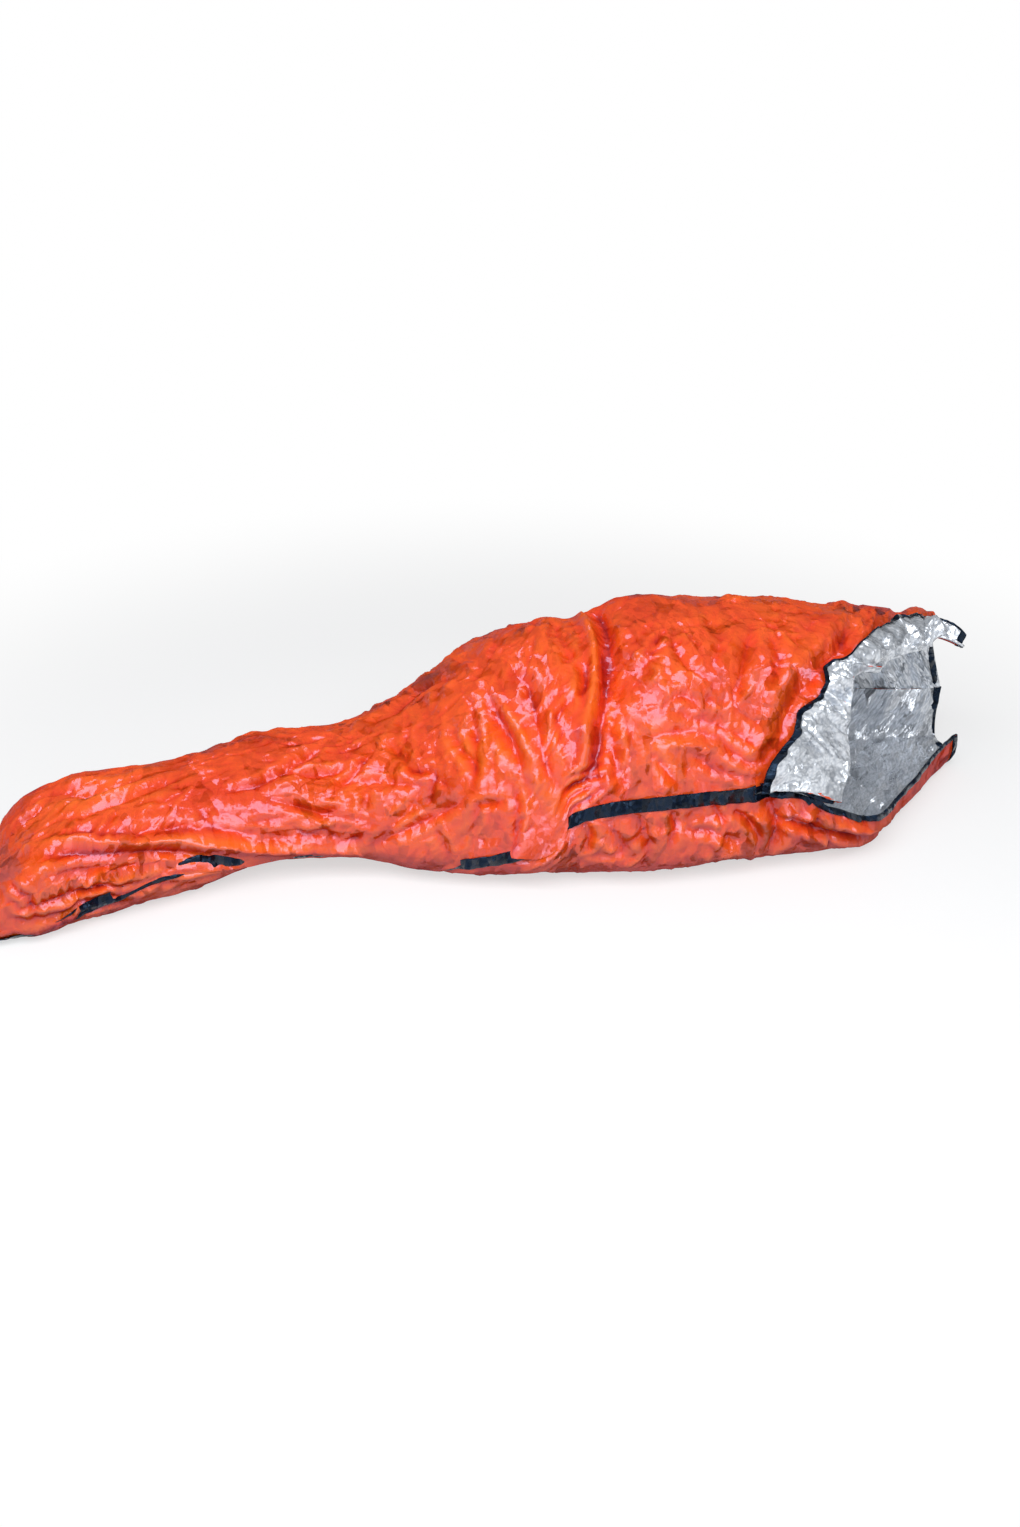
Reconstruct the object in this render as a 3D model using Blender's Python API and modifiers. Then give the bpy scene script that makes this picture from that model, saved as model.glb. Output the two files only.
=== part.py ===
"""Emergency bivvy bag, lying filled on the ground with its mouth turned back.

The bag is a long tube of thin film, orange outside and silver inside. An upper and a lower
panel meet in a taped seam on each side and in a taped seam at the foot. On the near side the
seam is left open behind the shoulder, and the free rim of the upper panel is folded outwards
as a lapel, a corner and a hood cuff, so that its silver side shows.

Units are metres. X runs from the foot to the head, -Y is the near side, +Z is up.
"""

from collections import namedtuple

import bmesh
import bpy
import numpy as np
from mathutils import Matrix, Vector

# Walls and clearances
FILM_WALL = 0.0010
LINING_WALL = 0.0006
TAPE_WALL = 0.0008
LAYER_GAP = 0.0003
SEAM_GAP = 0.0010
END_GAP = 0.0010
EDGE_GAP = 0.0004
LENGTH_GAP = 0.0006

# One tape, laid flat over the seams and folded in half over the free edges
TAPE_WIDTH = 0.028

# Mouth of the upper panel: the crease starts on the near seam, bends once and ends at the top
SLIT_START = 0.419
SLIT_LENGTH = 0.016
SLIT_DROP = 0.004
FOOT_DROP = 0.0015
FOOT_DROP_LENGTH = 0.014
CREASE_FOOT_X = 0.600
CREASE_BEND_X = 0.660
CREASE_BEND_GIRTH = 0.300
CREASE_TOP_X = 0.940
CREASE_TOP_GIRTH = 0.425
FAR_RIM_X = 1.030
SPREAD_START = 0.080
SPREAD_POWER = 1.6
STRAIGHTEN_LENGTH = 0.140

# The near edge of the lower panel runs on as a standing lip to the head end
LIP_END_X = 1.010

# The deep fold at the waist: places along the bag and round it from the near seam
WAIST_FOLD = (
    (0.222, 0.560),
    (0.216, 0.446),
    (0.204, 0.356),
    (0.192, 0.280),
    (0.176, 0.220),
    (0.156, 0.163),
    (0.136, 0.095),
)
WAIST_FOLD_HALF_WIDTH = 0.026
WAIST_FOLD_DEPTH = 0.018
WAIST_FOLD_FADE = 0.10

# Turned-back rim. The lapel lies over the tape of the slit, the rest on the film itself.
LAPEL_SEAT = 0.0026
HOOD_SEAT = 0.0005
CORNER_SEAT = 0.0008
FLAP_RISE = 0.006
FLAP_RISE_LENGTH = 0.030
FLAP_END_GAP = 0.0015
FLAP_ROOT_GAP = 0.0030
CORNER_END_GAP = 0.007
CORNER_START = 0.16
HOOD_TIP_ON_CREASE = (0.058, 0.020, -0.010)
HOOD_TIP_ON_EDGE = (0.045, 0.010, -0.030)

# How far the raw underside dips below the ground before it is held flat
FLATTEN = 0.014

# Most that an offset is lengthened where faces meet at an angle
STEEPEST_OFFSET = 1.4

# Mesh fineness
GIRTH_STEPS = 12
ARC_STEPS = 64
FLAP_ROWS = 5
LAPEL_COLUMNS = 8
CORNER_COLUMNS = 5
HOOD_COLUMNS = 10

Section = namedtuple(
    "Section",
    "x near width top widest lift crest near_round far_round base_round near_seam far_seam",
)

# The filled bag from foot to head. For each place: the near side's Y, the width, the height of
# the crest, the share of the height at the widest level, the lift off the ground, the share of
# the width at the crest, three roundness exponents (2 is an ellipse) and the two seam heights.
SECTIONS = (
    Section(-0.985, -0.162, 0.300, 0.009, 0.50, 0.0024, 0.55, 2.6, 2.4, 3.0, 0.0055, 0.0055),
    Section(-0.970, -0.195, 0.340, 0.085, 0.60, 0.0014, 0.60, 3.0, 2.4, 4.0, 0.010, 0.012),
    Section(-0.920, -0.195, 0.350, 0.145, 0.65, 0.000, 0.62, 3.4, 2.2, 4.5, 0.010, 0.050),
    Section(-0.800, -0.165, 0.330, 0.190, 0.60, 0.000, 0.62, 3.0, 2.2, 4.0, 0.048, 0.080),
    Section(-0.600, -0.110, 0.300, 0.195, 0.50, 0.008, 0.60, 2.5, 2.2, 3.5, 0.086, 0.090),
    Section(-0.430, -0.075, 0.310, 0.215, 0.45, 0.028, 0.58, 2.2, 2.2, 3.0, 0.050, 0.095),
    Section(-0.300, -0.095, 0.360, 0.210, 0.40, 0.028, 0.57, 2.2, 2.2, 3.0, 0.042, 0.095),
    Section(-0.180, -0.140, 0.430, 0.255, 0.35, 0.010, 0.56, 2.2, 2.2, 3.0, 0.043, 0.100),
    Section(-0.060, -0.190, 0.500, 0.345, 0.33, 0.000, 0.55, 2.2, 2.2, 3.2, 0.070, 0.110),
    Section(0.040, -0.215, 0.530, 0.400, 0.34, 0.000, 0.54, 2.2, 2.2, 3.4, 0.105, 0.120),
    Section(0.100, -0.225, 0.540, 0.412, 0.34, 0.000, 0.54, 2.2, 2.2, 3.4, 0.166, 0.120),
    Section(0.190, -0.240, 0.550, 0.412, 0.36, 0.000, 0.52, 2.2, 2.2, 3.5, 0.184, 0.120),
    Section(0.270, -0.255, 0.560, 0.455, 0.36, 0.000, 0.50, 2.2, 2.2, 3.5, 0.193, 0.120),
    Section(0.430, -0.245, 0.570, 0.437, 0.38, 0.000, 0.50, 2.2, 2.2, 3.5, 0.186, 0.120),
    Section(0.480, -0.245, 0.570, 0.434, 0.37, 0.000, 0.50, 2.1, 2.2, 3.5, 0.188, 0.120),
    Section(0.600, -0.240, 0.560, 0.425, 0.34, 0.000, 0.50, 2.0, 2.2, 3.5, 0.140, 0.120),
    Section(0.690, -0.215, 0.520, 0.405, 0.28, 0.000, 0.50, 1.9, 2.2, 3.5, 0.095, 0.120),
    Section(0.780, -0.130, 0.420, 0.380, 0.25, 0.000, 0.55, 2.0, 2.2, 3.5, 0.080, 0.120),
    Section(0.860, -0.050, 0.330, 0.355, 0.25, 0.000, 0.55, 2.1, 2.2, 3.5, 0.080, 0.120),
    Section(0.940, 0.040, 0.220, 0.338, 0.25, 0.000, 0.55, 2.1, 2.2, 3.2, 0.080, 0.120),
    Section(1.030, 0.125, 0.125, 0.310, 0.25, 0.006, 0.55, 2.1, 2.2, 2.6, 0.080, 0.120),
)
FOOT_X = SECTIONS[0].x

# Stations of the grids along the near seam. The foot wall of the upper panel is steep.
UPPER_FOOT_STATIONS = (FOOT_X, FOOT_X + 0.0025, -0.976)
LOWER_FOOT_STATIONS = (FOOT_X,)
LEG_STATIONS = (-0.971, -0.955, -0.93, -0.89, -0.84, -0.79, -0.73, -0.66, -0.59, -0.51, -0.43)
KNEE_STATIONS = (-0.36, -0.29, -0.23, -0.17, -0.11, -0.06, -0.01, 0.03, 0.06, 0.085)
WAIST_STATIONS = (0.11, 0.13, 0.15, 0.17, 0.19, 0.21, 0.23, 0.26)
CHEST_STATIONS = (0.31, 0.365, SLIT_START, SLIT_START + SLIT_LENGTH)
MOUTH_STATIONS = (0.454, 0.474, 0.494, 0.513, 0.532, 0.550, 0.566, 0.578)
MOUTH_END_STATIONS = (CREASE_FOOT_X, CREASE_FOOT_X)
SHARED_STATIONS = (
    LEG_STATIONS
    + KNEE_STATIONS
    + WAIST_STATIONS
    + CHEST_STATIONS
    + MOUTH_STATIONS
    + MOUTH_END_STATIONS
)

# The film of each panel is made in lengths, named from the foot on, that part at these stations
UPPER_FILM_LENGTHS = (("legs", -0.29), ("hips", 0.11), ("chest", None))
LOWER_FILM_LENGTHS = (("feet", -0.51), ("knees", -0.17), ("hips", 0.21), ("chest", None))

# Shares of the upper panel's mouth at which the crease bends and ends, near seam to far seam
BEND_SHARE = 3 / GIRTH_STEPS
TOP_SHARE = 7 / GIRTH_STEPS
RIM_TAPE_ROW = 9

# Free edges of the turned-back rim: share of the crease, then station and share of the girth
LAPEL_FOOT_SHARE = 0.002
LAPEL_EDGE = (
    (0.00, 0.446, 0.002),
    (0.15, 0.447, 0.040),
    (0.30, 0.470, 0.078),
    (0.45, 0.492, 0.105),
    (0.60, 0.505, 0.150),
    (0.80, 0.540, 0.190),
    (1.00, 0.553, 0.222),
)
HOOD_EDGE = (
    (0.00, 0.540, 0.352),
    (0.20, 0.525, 0.440),
    (0.45, 0.520, 0.530),
    (0.65, 0.535, 0.600),
    (0.85, 0.562, 0.625),
    (1.00, 0.590, 0.638),
)

# Colours are linear red, green, blue
FILM_COLOUR = (0.83, 0.08, 0.017)
LINING_COLOUR = (0.62, 0.66, 0.70)
TAPE_COLOUR = (0.010, 0.013, 0.022)

Panel = namedtuple("Panel", "points offsets")


def steady_slopes(places, values):
    """Slopes of a curve through the values that never overshoots between them."""
    step = np.diff(places)
    rise = np.diff(values) / step
    slopes = np.zeros(len(places))
    slopes[0] = rise[0]
    slopes[-1] = rise[-1]
    for i in range(1, len(places) - 1):
        if rise[i - 1] * rise[i] > 0:
            before = 2 * step[i] + step[i - 1]
            after = step[i] + 2 * step[i - 1]
            slopes[i] = (before + after) / (before / rise[i - 1] + after / rise[i])
    return slopes


def smooth(places, values, x):
    """Cubic curve through the values."""
    places = np.asarray(places, float)
    values = np.asarray(values, float)
    slopes = steady_slopes(places, values)
    k = np.clip(np.searchsorted(places, x, side="right") - 1, 0, len(places) - 2)
    step = places[k + 1] - places[k]
    t = (x - places[k]) / step
    return (
        (2 * t**3 - 3 * t**2 + 1) * values[k]
        + (t**3 - 2 * t**2 + t) * step * slopes[k]
        + (3 * t**2 - 2 * t**3) * values[k + 1]
        + (t**3 - t**2) * step * slopes[k + 1]
    )


def ease(t):
    t = np.clip(t, 0, 1)
    return t * t * (3 - 2 * t)


def section_at(x):
    places = [section.x for section in SECTIONS]
    fields = [smooth(places, [getattr(s, field) for s in SECTIONS], x) for field in Section._fields[1:]]
    return Section(x, *fields)


def levels(s):
    """Widest level, and the raw depth below it."""
    wide = s.lift + s.widest * (s.top - s.lift)
    return wide, wide - s.lift + FLATTEN * np.clip((s.top - s.lift) / 0.2, 0, 1)


def outline(s, angle):
    """Point of a section at an angle: 0 is the far side, a quarter turn the crest."""
    across = np.cos(angle)
    up = np.sin(angle)
    power = np.where(up >= 0, np.where(across < 0, s.near_round, s.far_round), s.base_round)
    reach = np.where(across < 0, s.width * s.crest, s.width * (1 - s.crest))
    y = s.near + s.width * s.crest + reach * np.sign(across) * np.abs(across) ** (2 / power)
    wide, depth = levels(s)
    height = np.where(up >= 0, s.top - wide, depth)
    z = wide + height * np.sign(up) * np.abs(up) ** (2 / power)
    return y, np.maximum(z, s.lift)


def seam_lean(s, seam, roundness):
    """Angle above the widest level, negative below it, at which the outline meets a height."""
    wide, depth = levels(s)
    above = seam >= wide
    height = np.where(above, s.top - wide, depth)
    power = np.where(above, roundness, s.base_round)
    lean = np.arcsin(np.clip(np.abs(seam - wide) / height, 0, 0.999) ** (power / 2))
    return np.where(above, lean, -lean)


def walk(x, upper):
    """Section, its angles at the two seams, and the running length of the outline between them."""
    s = section_at(x)
    near = np.pi - seam_lean(s, s.near_seam, s.near_round)
    far = seam_lean(s, s.far_seam, s.far_round) + (0 if upper else 2 * np.pi)
    spread = Section(*[np.asarray(field)[..., None] for field in s])
    turn = np.linspace(0, 1, ARC_STEPS + 1)
    y, z = outline(spread, near[..., None] + turn * (far - near)[..., None])
    run = np.cumsum(np.hypot(np.diff(y), np.diff(z)), -1)
    return s, near, far, np.concatenate([np.zeros(np.shape(x) + (1,)), run], -1)


def girth(x, upper):
    return walk(x, upper)[3][..., -1]


def tube(x, share, upper):
    """Point of the filled bag at a share of the way from the near seam to the far seam."""
    x, share = np.broadcast_arrays(np.asarray(x, float), np.asarray(share, float))
    s, near, far, run = walk(x, upper)
    goal = share * run[..., -1]
    k = np.clip((run < goal[..., None]).sum(-1) - 1, 0, ARC_STEPS - 1)
    before = np.take_along_axis(run, k[..., None], -1)[..., 0]
    after = np.take_along_axis(run, k[..., None] + 1, -1)[..., 0]
    part = (goal - before) / (after - before)
    y, z = outline(s, near + (k + part) / ARC_STEPS * (far - near))
    return np.stack([x, y, z], -1)


def mouth_edge(m):
    """X and share of the girth of the upper panel's mouth, near seam to far seam."""
    shares = (0, BEND_SHARE, TOP_SHARE, 1)
    x = np.interp(m, shares, (CREASE_FOOT_X, CREASE_BEND_X, CREASE_TOP_X, FAR_RIM_X))
    return x, np.interp(m, shares, (0, CREASE_BEND_GIRTH, CREASE_TOP_GIRTH, 1))


def straight_crease(m):
    """The mouth's edge, straight from the seam to the bend and from the bend to the top."""
    shares = (0, BEND_SHARE, TOP_SHARE)
    corners = [tube(*mouth_edge(share), True) for share in shares]
    line = [np.interp(m, shares, [corner[i] for corner in corners]) for i in range(3)]
    return np.where((m <= TOP_SHARE)[..., None], np.stack(line, -1), tube(*mouth_edge(m), True))


def near_inset(u):
    """Half the distance between the panels' near edges: they part in the slit and at the foot."""
    foot = FOOT_DROP * (1 - ease((u - FOOT_X) / FOOT_DROP_LENGTH))
    return SEAM_GAP / 2 + foot + SLIT_DROP * ease((u - SLIT_START) / SLIT_LENGTH)


def far_inset(u):
    return SEAM_GAP / 2 + FOOT_DROP * (1 - ease((u - FOOT_X) / FOOT_DROP_LENGTH))


def waist_fold(x, around):
    """Depth of the fold at the waist, which fades out towards both of its ends."""
    path = np.array(WAIST_FOLD)
    distance = np.full(np.shape(x), np.inf)
    for start, step in zip(path, np.diff(path, axis=0)):
        along = (x - start[0]) * step[0] + (around - start[1]) * step[1]
        part = np.clip(along / (step**2).sum(), 0, 1)
        away = np.hypot(x - start[0] - part * step[0], around - start[1] - part * step[1])
        distance = np.minimum(distance, away)
    inside = np.minimum(around - path[-1][1], path[0][1] - around) / WAIST_FOLD_FADE
    return WAIST_FOLD_DEPTH * np.exp(-((distance / WAIST_FOLD_HALF_WIDTH) ** 2)) * ease(inside + 0.5)


def upper_surface(u, m):
    """Point of the upper panel from its station on the near seam and its share of the girth."""
    u, m = np.broadcast_arrays(np.asarray(u, float), np.asarray(m, float))
    spread = np.clip((u - SPREAD_START) / (CREASE_FOOT_X - SPREAD_START), 0, 1) ** SPREAD_POWER
    edge_x, edge_share = mouth_edge(m)
    x = u + spread * (edge_x - CREASE_FOOT_X)
    inset = ((1 - m) * near_inset(u) - m * far_inset(u)) / girth(x, True)
    pull = ease((u - CREASE_FOOT_X + STRAIGHTEN_LENGTH) / STRAIGHTEN_LENGTH)
    offset = straight_crease(m) - tube(edge_x, edge_share, True)
    share = m + spread * (edge_share - m) + inset
    point = tube(x, share, True)
    section = section_at(x)
    wide, _ = levels(section)
    inwards = np.stack([0 * x, section.near + section.width * section.crest, wide], -1) - point
    inwards[..., 0] = 0
    inwards /= np.linalg.norm(inwards, axis=-1, keepdims=True)
    depth = waist_fold(x, share * girth(x, True))
    return point + pull[..., None] * offset + inwards * depth[..., None]


def lower_surface(u, m):
    """Point of the lower panel. Both panels have the same stations on the far seam."""
    u, m = np.broadcast_arrays(np.asarray(u, float), np.asarray(m, float))
    spread = np.clip((u - SPREAD_START) / (CREASE_FOOT_X - SPREAD_START), 0, 1) ** SPREAD_POWER
    far_x = u + spread * (FAR_RIM_X - CREASE_FOOT_X)
    parting = SLIT_START + SLIT_LENGTH
    beyond = np.clip((u - parting) / (CREASE_FOOT_X - parting), 0, 1)
    near_x = u + beyond * (LIP_END_X - CREASE_FOOT_X)
    x = near_x + m * (far_x - near_x)
    inset = (1 - m) * near_inset(u) - m * far_inset(u)
    return tube(x, m + inset / girth(x, False), False)


def offsets_of(points):
    """For each point of a grid, the vector that moves the faces round it outwards by one unit."""
    total = np.zeros(points.shape)
    weight = np.zeros(points.shape[:2])
    corners = []
    low = slice(None, -1)
    high = slice(1, None)
    for rows, next_rows, row_way in ((low, high, 1), (high, low, -1)):
        for columns, next_columns, column_way in ((low, high, 1), (high, low, -1)):
            place = points[rows, columns]
            along = points[next_rows, columns] - place
            across = points[rows, next_columns] - place
            normal = np.cross(along, across) * row_way * column_way
            area = np.linalg.norm(normal, axis=-1)
            angle = np.arctan2(area, (along * across).sum(-1))
            normal /= area[..., None]
            total[rows, columns] += normal * angle[..., None]
            weight[rows, columns] += angle
            corners.append((rows, columns, normal, angle))
    total /= np.linalg.norm(total, axis=-1, keepdims=True)
    lean = np.zeros(points.shape[:2])
    for rows, columns, normal, angle in corners:
        lean[rows, columns] += (normal * total[rows, columns]).sum(-1) * angle
    return total * np.minimum(weight / lean, STEEPEST_OFFSET)[..., None]


def panel(surface, stations, upper):
    """Grid of a panel, with a line of points where the tapes along its edges end."""
    u = np.array(stations)
    tape = TAPE_WIDTH / 2 / girth(u, upper)[:, None]
    inner = np.arange(1, GIRTH_STEPS) / GIRTH_STEPS
    inner = np.broadcast_to(inner, (len(u), len(inner)))
    m = np.concatenate([0 * tape, tape, inner, 1 - tape, 0 * tape + 1], 1)
    u = np.repeat(u[:, None], m.shape[1], 1)
    small = 0.004
    edge = surface(u[-1], m[-1])
    speed = np.linalg.norm(edge - surface(u[-1] - small, m[-1]), axis=-1) / small
    u[-2] = u[-1] - TAPE_WIDTH / 2 / speed
    return surface(u, m)


def upper_panel():
    points = panel(upper_surface, UPPER_FOOT_STATIONS + SHARED_STATIONS, True)
    return Panel(points, offsets_of(points))


def lower_panel():
    """Stored from the far seam to the near seam, so that its faces look down and out."""
    points = panel(lower_surface, LOWER_FOOT_STATIONS + SHARED_STATIONS, False)[:, ::-1]
    return Panel(points, offsets_of(points))


def rim_panel(crease, free, start):
    """Grid of a turned-back piece of the rim, free edge first, rising off the bag from its root."""
    crease = np.array(crease)
    free = np.array(free)
    root = upper_surface(*crease.T)
    width = np.linalg.norm(upper_surface(*free.T) - root, axis=-1)
    first = TAPE_WIDTH / 2 / width
    last = 1 - FLAP_ROOT_GAP / width
    depth = first + np.linspace(0, 1, FLAP_ROWS)[:, None] * (last - first)
    depth = np.concatenate([np.zeros((1, len(first))), depth])
    u = free[:, 0] + depth * (crease[:, 0] - free[:, 0])
    m = free[:, 1] + depth * (crease[:, 1] - free[:, 1])
    points = upper_surface(u, m)
    away = np.linalg.norm(points - root, axis=-1)
    rise = FILM_WALL + start + FLAP_RISE * ease(away / FLAP_RISE_LENGTH)
    return points + offsets_of(points) * rise[..., None]


def rim_columns(table, first, last, count):
    """Places on the crease and on the free edge, evenly spaced along the crease."""
    t = np.linspace(0, 1, count)
    crease = np.stack([np.full(count, CREASE_FOOT_X), first + t * (last - first)], -1)
    shares = [row[0] for row in table]
    free = [smooth(shares, [row[i] for row in table], t) for i in (1, 2)]
    return crease, np.stack(free, -1)


def lapel_panel():
    crease, free = rim_columns(LAPEL_EDGE, LAPEL_FOOT_SHARE, BEND_SHARE - FLAP_END_GAP, LAPEL_COLUMNS)
    points = rim_panel(crease, free, LAPEL_SEAT)
    return Panel(points, offsets_of(points))


def hood_panel():
    """The hood cuff ends in a drooping tip that runs on past the top of the crease."""
    crease, free = rim_columns(HOOD_EDGE, BEND_SHARE + FLAP_END_GAP, TOP_SHARE, HOOD_COLUMNS)
    points = rim_panel(crease, free, HOOD_SEAT)
    last = points[:, -1]
    depth = np.linalg.norm(last - last[0], axis=-1)[:, None] / np.linalg.norm(last[-1] - last[0])
    tip = last + (1 - depth) * HOOD_TIP_ON_EDGE + depth * HOOD_TIP_ON_CREASE
    points = np.concatenate([points, tip[:, None]], 1)
    return Panel(points, offsets_of(points))


def corner_panel():
    """The corner fills the fan between the lapel and the hood cuff at the bend of the crease."""
    bend = np.array([CREASE_FOOT_X, BEND_SHARE])
    t = np.linspace(0, 1, CORNER_COLUMNS)[:, None]
    first = np.array(LAPEL_EDGE[-1][1:]) + (0, CORNER_END_GAP)
    last = np.array(HOOD_EDGE[0][1:]) - (0, CORNER_END_GAP)
    free = first + t * (last - first)
    crease = bend + CORNER_START * (free - bend)
    points = rim_panel(crease, free, CORNER_SEAT)
    return Panel(points, offsets_of(points))


def finish(name, colour, roughness, metallic):
    material = bpy.data.materials.new(name)
    material.use_nodes = True
    shader = material.node_tree.nodes["Principled BSDF"]
    shader.inputs["Base Color"].default_value = (*colour, 1)
    shader.inputs["Roughness"].default_value = roughness
    shader.inputs["Metallic"].default_value = metallic
    return material


def sheet(name, points, wall, material, crossed=None):
    """Closed sheet whose wall lies on the outer side of a grid of points.

    All quads are halved the same way, so that stacked layers keep their gap. Crossed quads are
    halved the other way, for a layer whose grid runs back along the one that it lies against.
    """
    rows, columns = points.shape[:2]
    bm = bmesh.new()
    bmesh.ops.create_grid(bm, x_segments=rows - 1, y_segments=columns - 1, size=1)
    plain = []
    other = []
    for face in bm.faces:
        middle = face.calc_center_median()
        i = int((middle.x + 1) / 2 * (rows - 1))
        j = int((middle.y + 1) / 2 * (columns - 1))
        (other if crossed is not None and crossed[i, j] else plain).append(face)
    for vertex in bm.verts:
        i = round((vertex.co.x + 1) / 2 * (rows - 1))
        j = round((vertex.co.y + 1) / 2 * (columns - 1))
        vertex.co = points[i, j]
    bmesh.ops.triangulate(bm, faces=plain, quad_method="FIXED")
    if other:
        bmesh.ops.triangulate(bm, faces=other, quad_method="ALTERNATE")
    mesh = bpy.data.meshes.new(name)
    bm.to_mesh(mesh)
    bm.free()
    mesh.materials.append(material)
    obj = bpy.data.objects.new(name, mesh)
    solid = obj.modifiers.new("wall", "SOLIDIFY")
    solid.thickness = wall
    solid.offset = 1
    return obj


def film(name, part):
    return sheet(name, part.points, FILM_WALL, finish(name, FILM_COLOUR, 0.32, 0))


def lining(name, part, height):
    points = part.points + part.offsets * height
    return sheet(name, points, LINING_WALL, finish(name, LINING_COLOUR, 0.25, 0.9))


def tape(name, points, crossed=None):
    return sheet(name, points, TAPE_WALL, finish(name, TAPE_COLOUR, 0.35, 0), crossed)


def shortened(points, gap):
    """The strip with both of its ends drawn in by a gap."""
    for end, beside in ((0, 1), (-1, -2)):
        step = points[beside] - points[end]
        points[end] += step * (gap / np.linalg.norm(step, axis=-1, keepdims=True))
    return points


def folded_tape(name, inner, edge, heights, edge_first, along_rows):
    """Tape folded over an edge: along the outer face, round the edge and back under it."""
    under, top = heights
    out = edge.points - inner.points
    out *= EDGE_GAP / np.linalg.norm(out, axis=-1, keepdims=True)
    lines = [
        inner.points + inner.offsets * (top + LAYER_GAP),
        edge.points + edge.offsets * (top + LAYER_GAP) + out,
        edge.points + edge.offsets * (under - LAYER_GAP) + out,
        inner.points + inner.offsets * (under - LAYER_GAP),
    ]
    if edge_first:
        lines.reverse()
    points = shortened(np.stack(lines, 1), END_GAP)
    crossed = np.zeros((points.shape[0] - 1, 3), bool)
    crossed[:, 0 if edge_first else 2] = True
    if along_rows:
        points = points.transpose(1, 0, 2)
        crossed = crossed.T
    return tape(name, points, crossed)


def lines_of(part, rows, columns):
    return Panel(part.points[rows, columns], part.offsets[rows, columns])


def from_leg(part):
    """The panel without its steep foot wall, where the film alone runs down to the seam."""
    return lines_of(part, slice(part.points.shape[0] - len(SHARED_STATIONS), None), slice(None))


def seam_strip(parts, columns, first, last):
    """Lines of a tape laid flat over a seam, between two shared stations."""
    lines = []
    for part, column in zip(parts, columns):
        offset = part.points.shape[0] - len(SHARED_STATIONS)
        stretch = slice(first + offset, last + offset + 1)
        line = lines_of(part, stretch, column)
        lines.append(line.points + line.offsets * (FILM_WALL + LAYER_GAP))
    return shortened(np.stack(lines, 1), END_GAP)


def film_lengths(name, part, lengths):
    """The film of a panel in lengths, with a narrow gap between them."""
    mouth = part.points.shape[0] - 1
    offset = part.points.shape[0] - len(SHARED_STATIONS)
    pieces = []
    first = 0
    for length, station in lengths:
        last = mouth if station is None else SHARED_STATIONS.index(station) + offset
        points = part.points[first : last + 1].copy()
        parted = []
        if first > 0:
            parted.append((0, 1))
        if last < mouth:
            parted.append((-1, -2))
        for end, beside in parted:
            step = points[beside] - points[end]
            points[end] += step * (LENGTH_GAP / 2 / np.linalg.norm(step, axis=-1, keepdims=True))
        pieces.append(film(name + "_" + length, Panel(points, None)))
        first = last
    return pieces


def bag_pieces():
    upper = upper_panel()
    lower = lower_panel()
    under = -LAYER_GAP - LINING_WALL
    faces = (under, FILM_WALL)
    whole = slice(None)
    tack = SHARED_STATIONS.index(SLIT_START + SLIT_LENGTH)
    mouth = len(SHARED_STATIONS) - 2
    upper_tack = tack + len(UPPER_FOOT_STATIONS)
    lower_tack = tack + len(LOWER_FOOT_STATIONS)
    near = seam_strip((lower, lower, upper, upper), (-2, -1, 0, 1), 0, tack)
    far = seam_strip((upper, upper, lower, lower), (-2, -1, 0, 1), 1, mouth)
    foot = []
    for part, row, reach in ((lower, 1, 0), (lower, 0, 1), (upper, 0, 1), (upper, 1, 0)):
        line = lines_of(part, row, slice(1, -1))
        points = line.points + line.offsets * (FILM_WALL + LAYER_GAP)
        points[:, 0] -= reach * LAYER_GAP
        foot.append(points[::-1] if part is lower else points)
    slit = slice(upper_tack, None)
    side = slice(lower_tack, -1)
    rim = slice(RIM_TAPE_ROW, None)
    upper_films = film_lengths("upper_film", upper, UPPER_FILM_LENGTHS)
    return upper_films + film_lengths("lower_film", lower, LOWER_FILM_LENGTHS) + [
        lining("upper_lining", from_leg(upper), under),
        lining("lower_lining", from_leg(lower), under),
        tape("near_seam_tape", near),
        tape("far_seam_tape", far),
        tape("foot_tape", shortened(np.stack(foot, 1), END_GAP).transpose(1, 0, 2)),
        folded_tape("slit_tape", lines_of(upper, slit, 1), lines_of(upper, slit, 0), faces, True, False),
        folded_tape("lip_tape", lines_of(lower, side, -2), lines_of(lower, side, -1), faces, False, False),
        folded_tape("lip_end_tape", lines_of(lower, -2, whole), lines_of(lower, -1, whole), faces, False, True),
        folded_tape("far_rim_tape", lines_of(upper, -2, rim), lines_of(upper, -1, rim), faces, False, True),
    ]


def rim_pieces(name, part):
    """A turned-back piece lies inside out: silver above, orange below, tape round its free edge."""
    height = FILM_WALL + LAYER_GAP
    faces = (0, height + LINING_WALL)
    inner = lines_of(part, 1, slice(None))
    edge = lines_of(part, 0, slice(None))
    return [
        film(name + "_film", part),
        lining(name + "_lining", part, height),
        folded_tape(name + "_tape", inner, edge, faces, True, True),
    ]


def hinge(name, first, last, pieces):
    """Empty on the crease, with its own Z along the crease; the flap's pieces hang from it."""
    small = 0.002
    middle = (first + last) / 2
    shares = np.array([first, last])
    ends = upper_surface(CREASE_FOOT_X, shares)
    along = ends[1] - ends[0]
    inward = upper_surface(CREASE_FOOT_X - small, middle) - upper_surface(CREASE_FOOT_X, middle)
    outward = np.cross(along, inward)
    ends = ends + outward / np.linalg.norm(outward) * (FILM_WALL + LAYER_GAP / 2)
    axis = Vector(ends[1] - ends[0])
    empty = bpy.data.objects.new(name, None)
    turn = axis.to_track_quat("Z", "Y").to_matrix().to_4x4()
    empty.matrix_world = Matrix.Translation(Vector(ends[0])) @ turn
    for piece in pieces:
        piece.parent = empty
        piece.matrix_parent_inverse = empty.matrix_world.inverted()
    return empty


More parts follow.
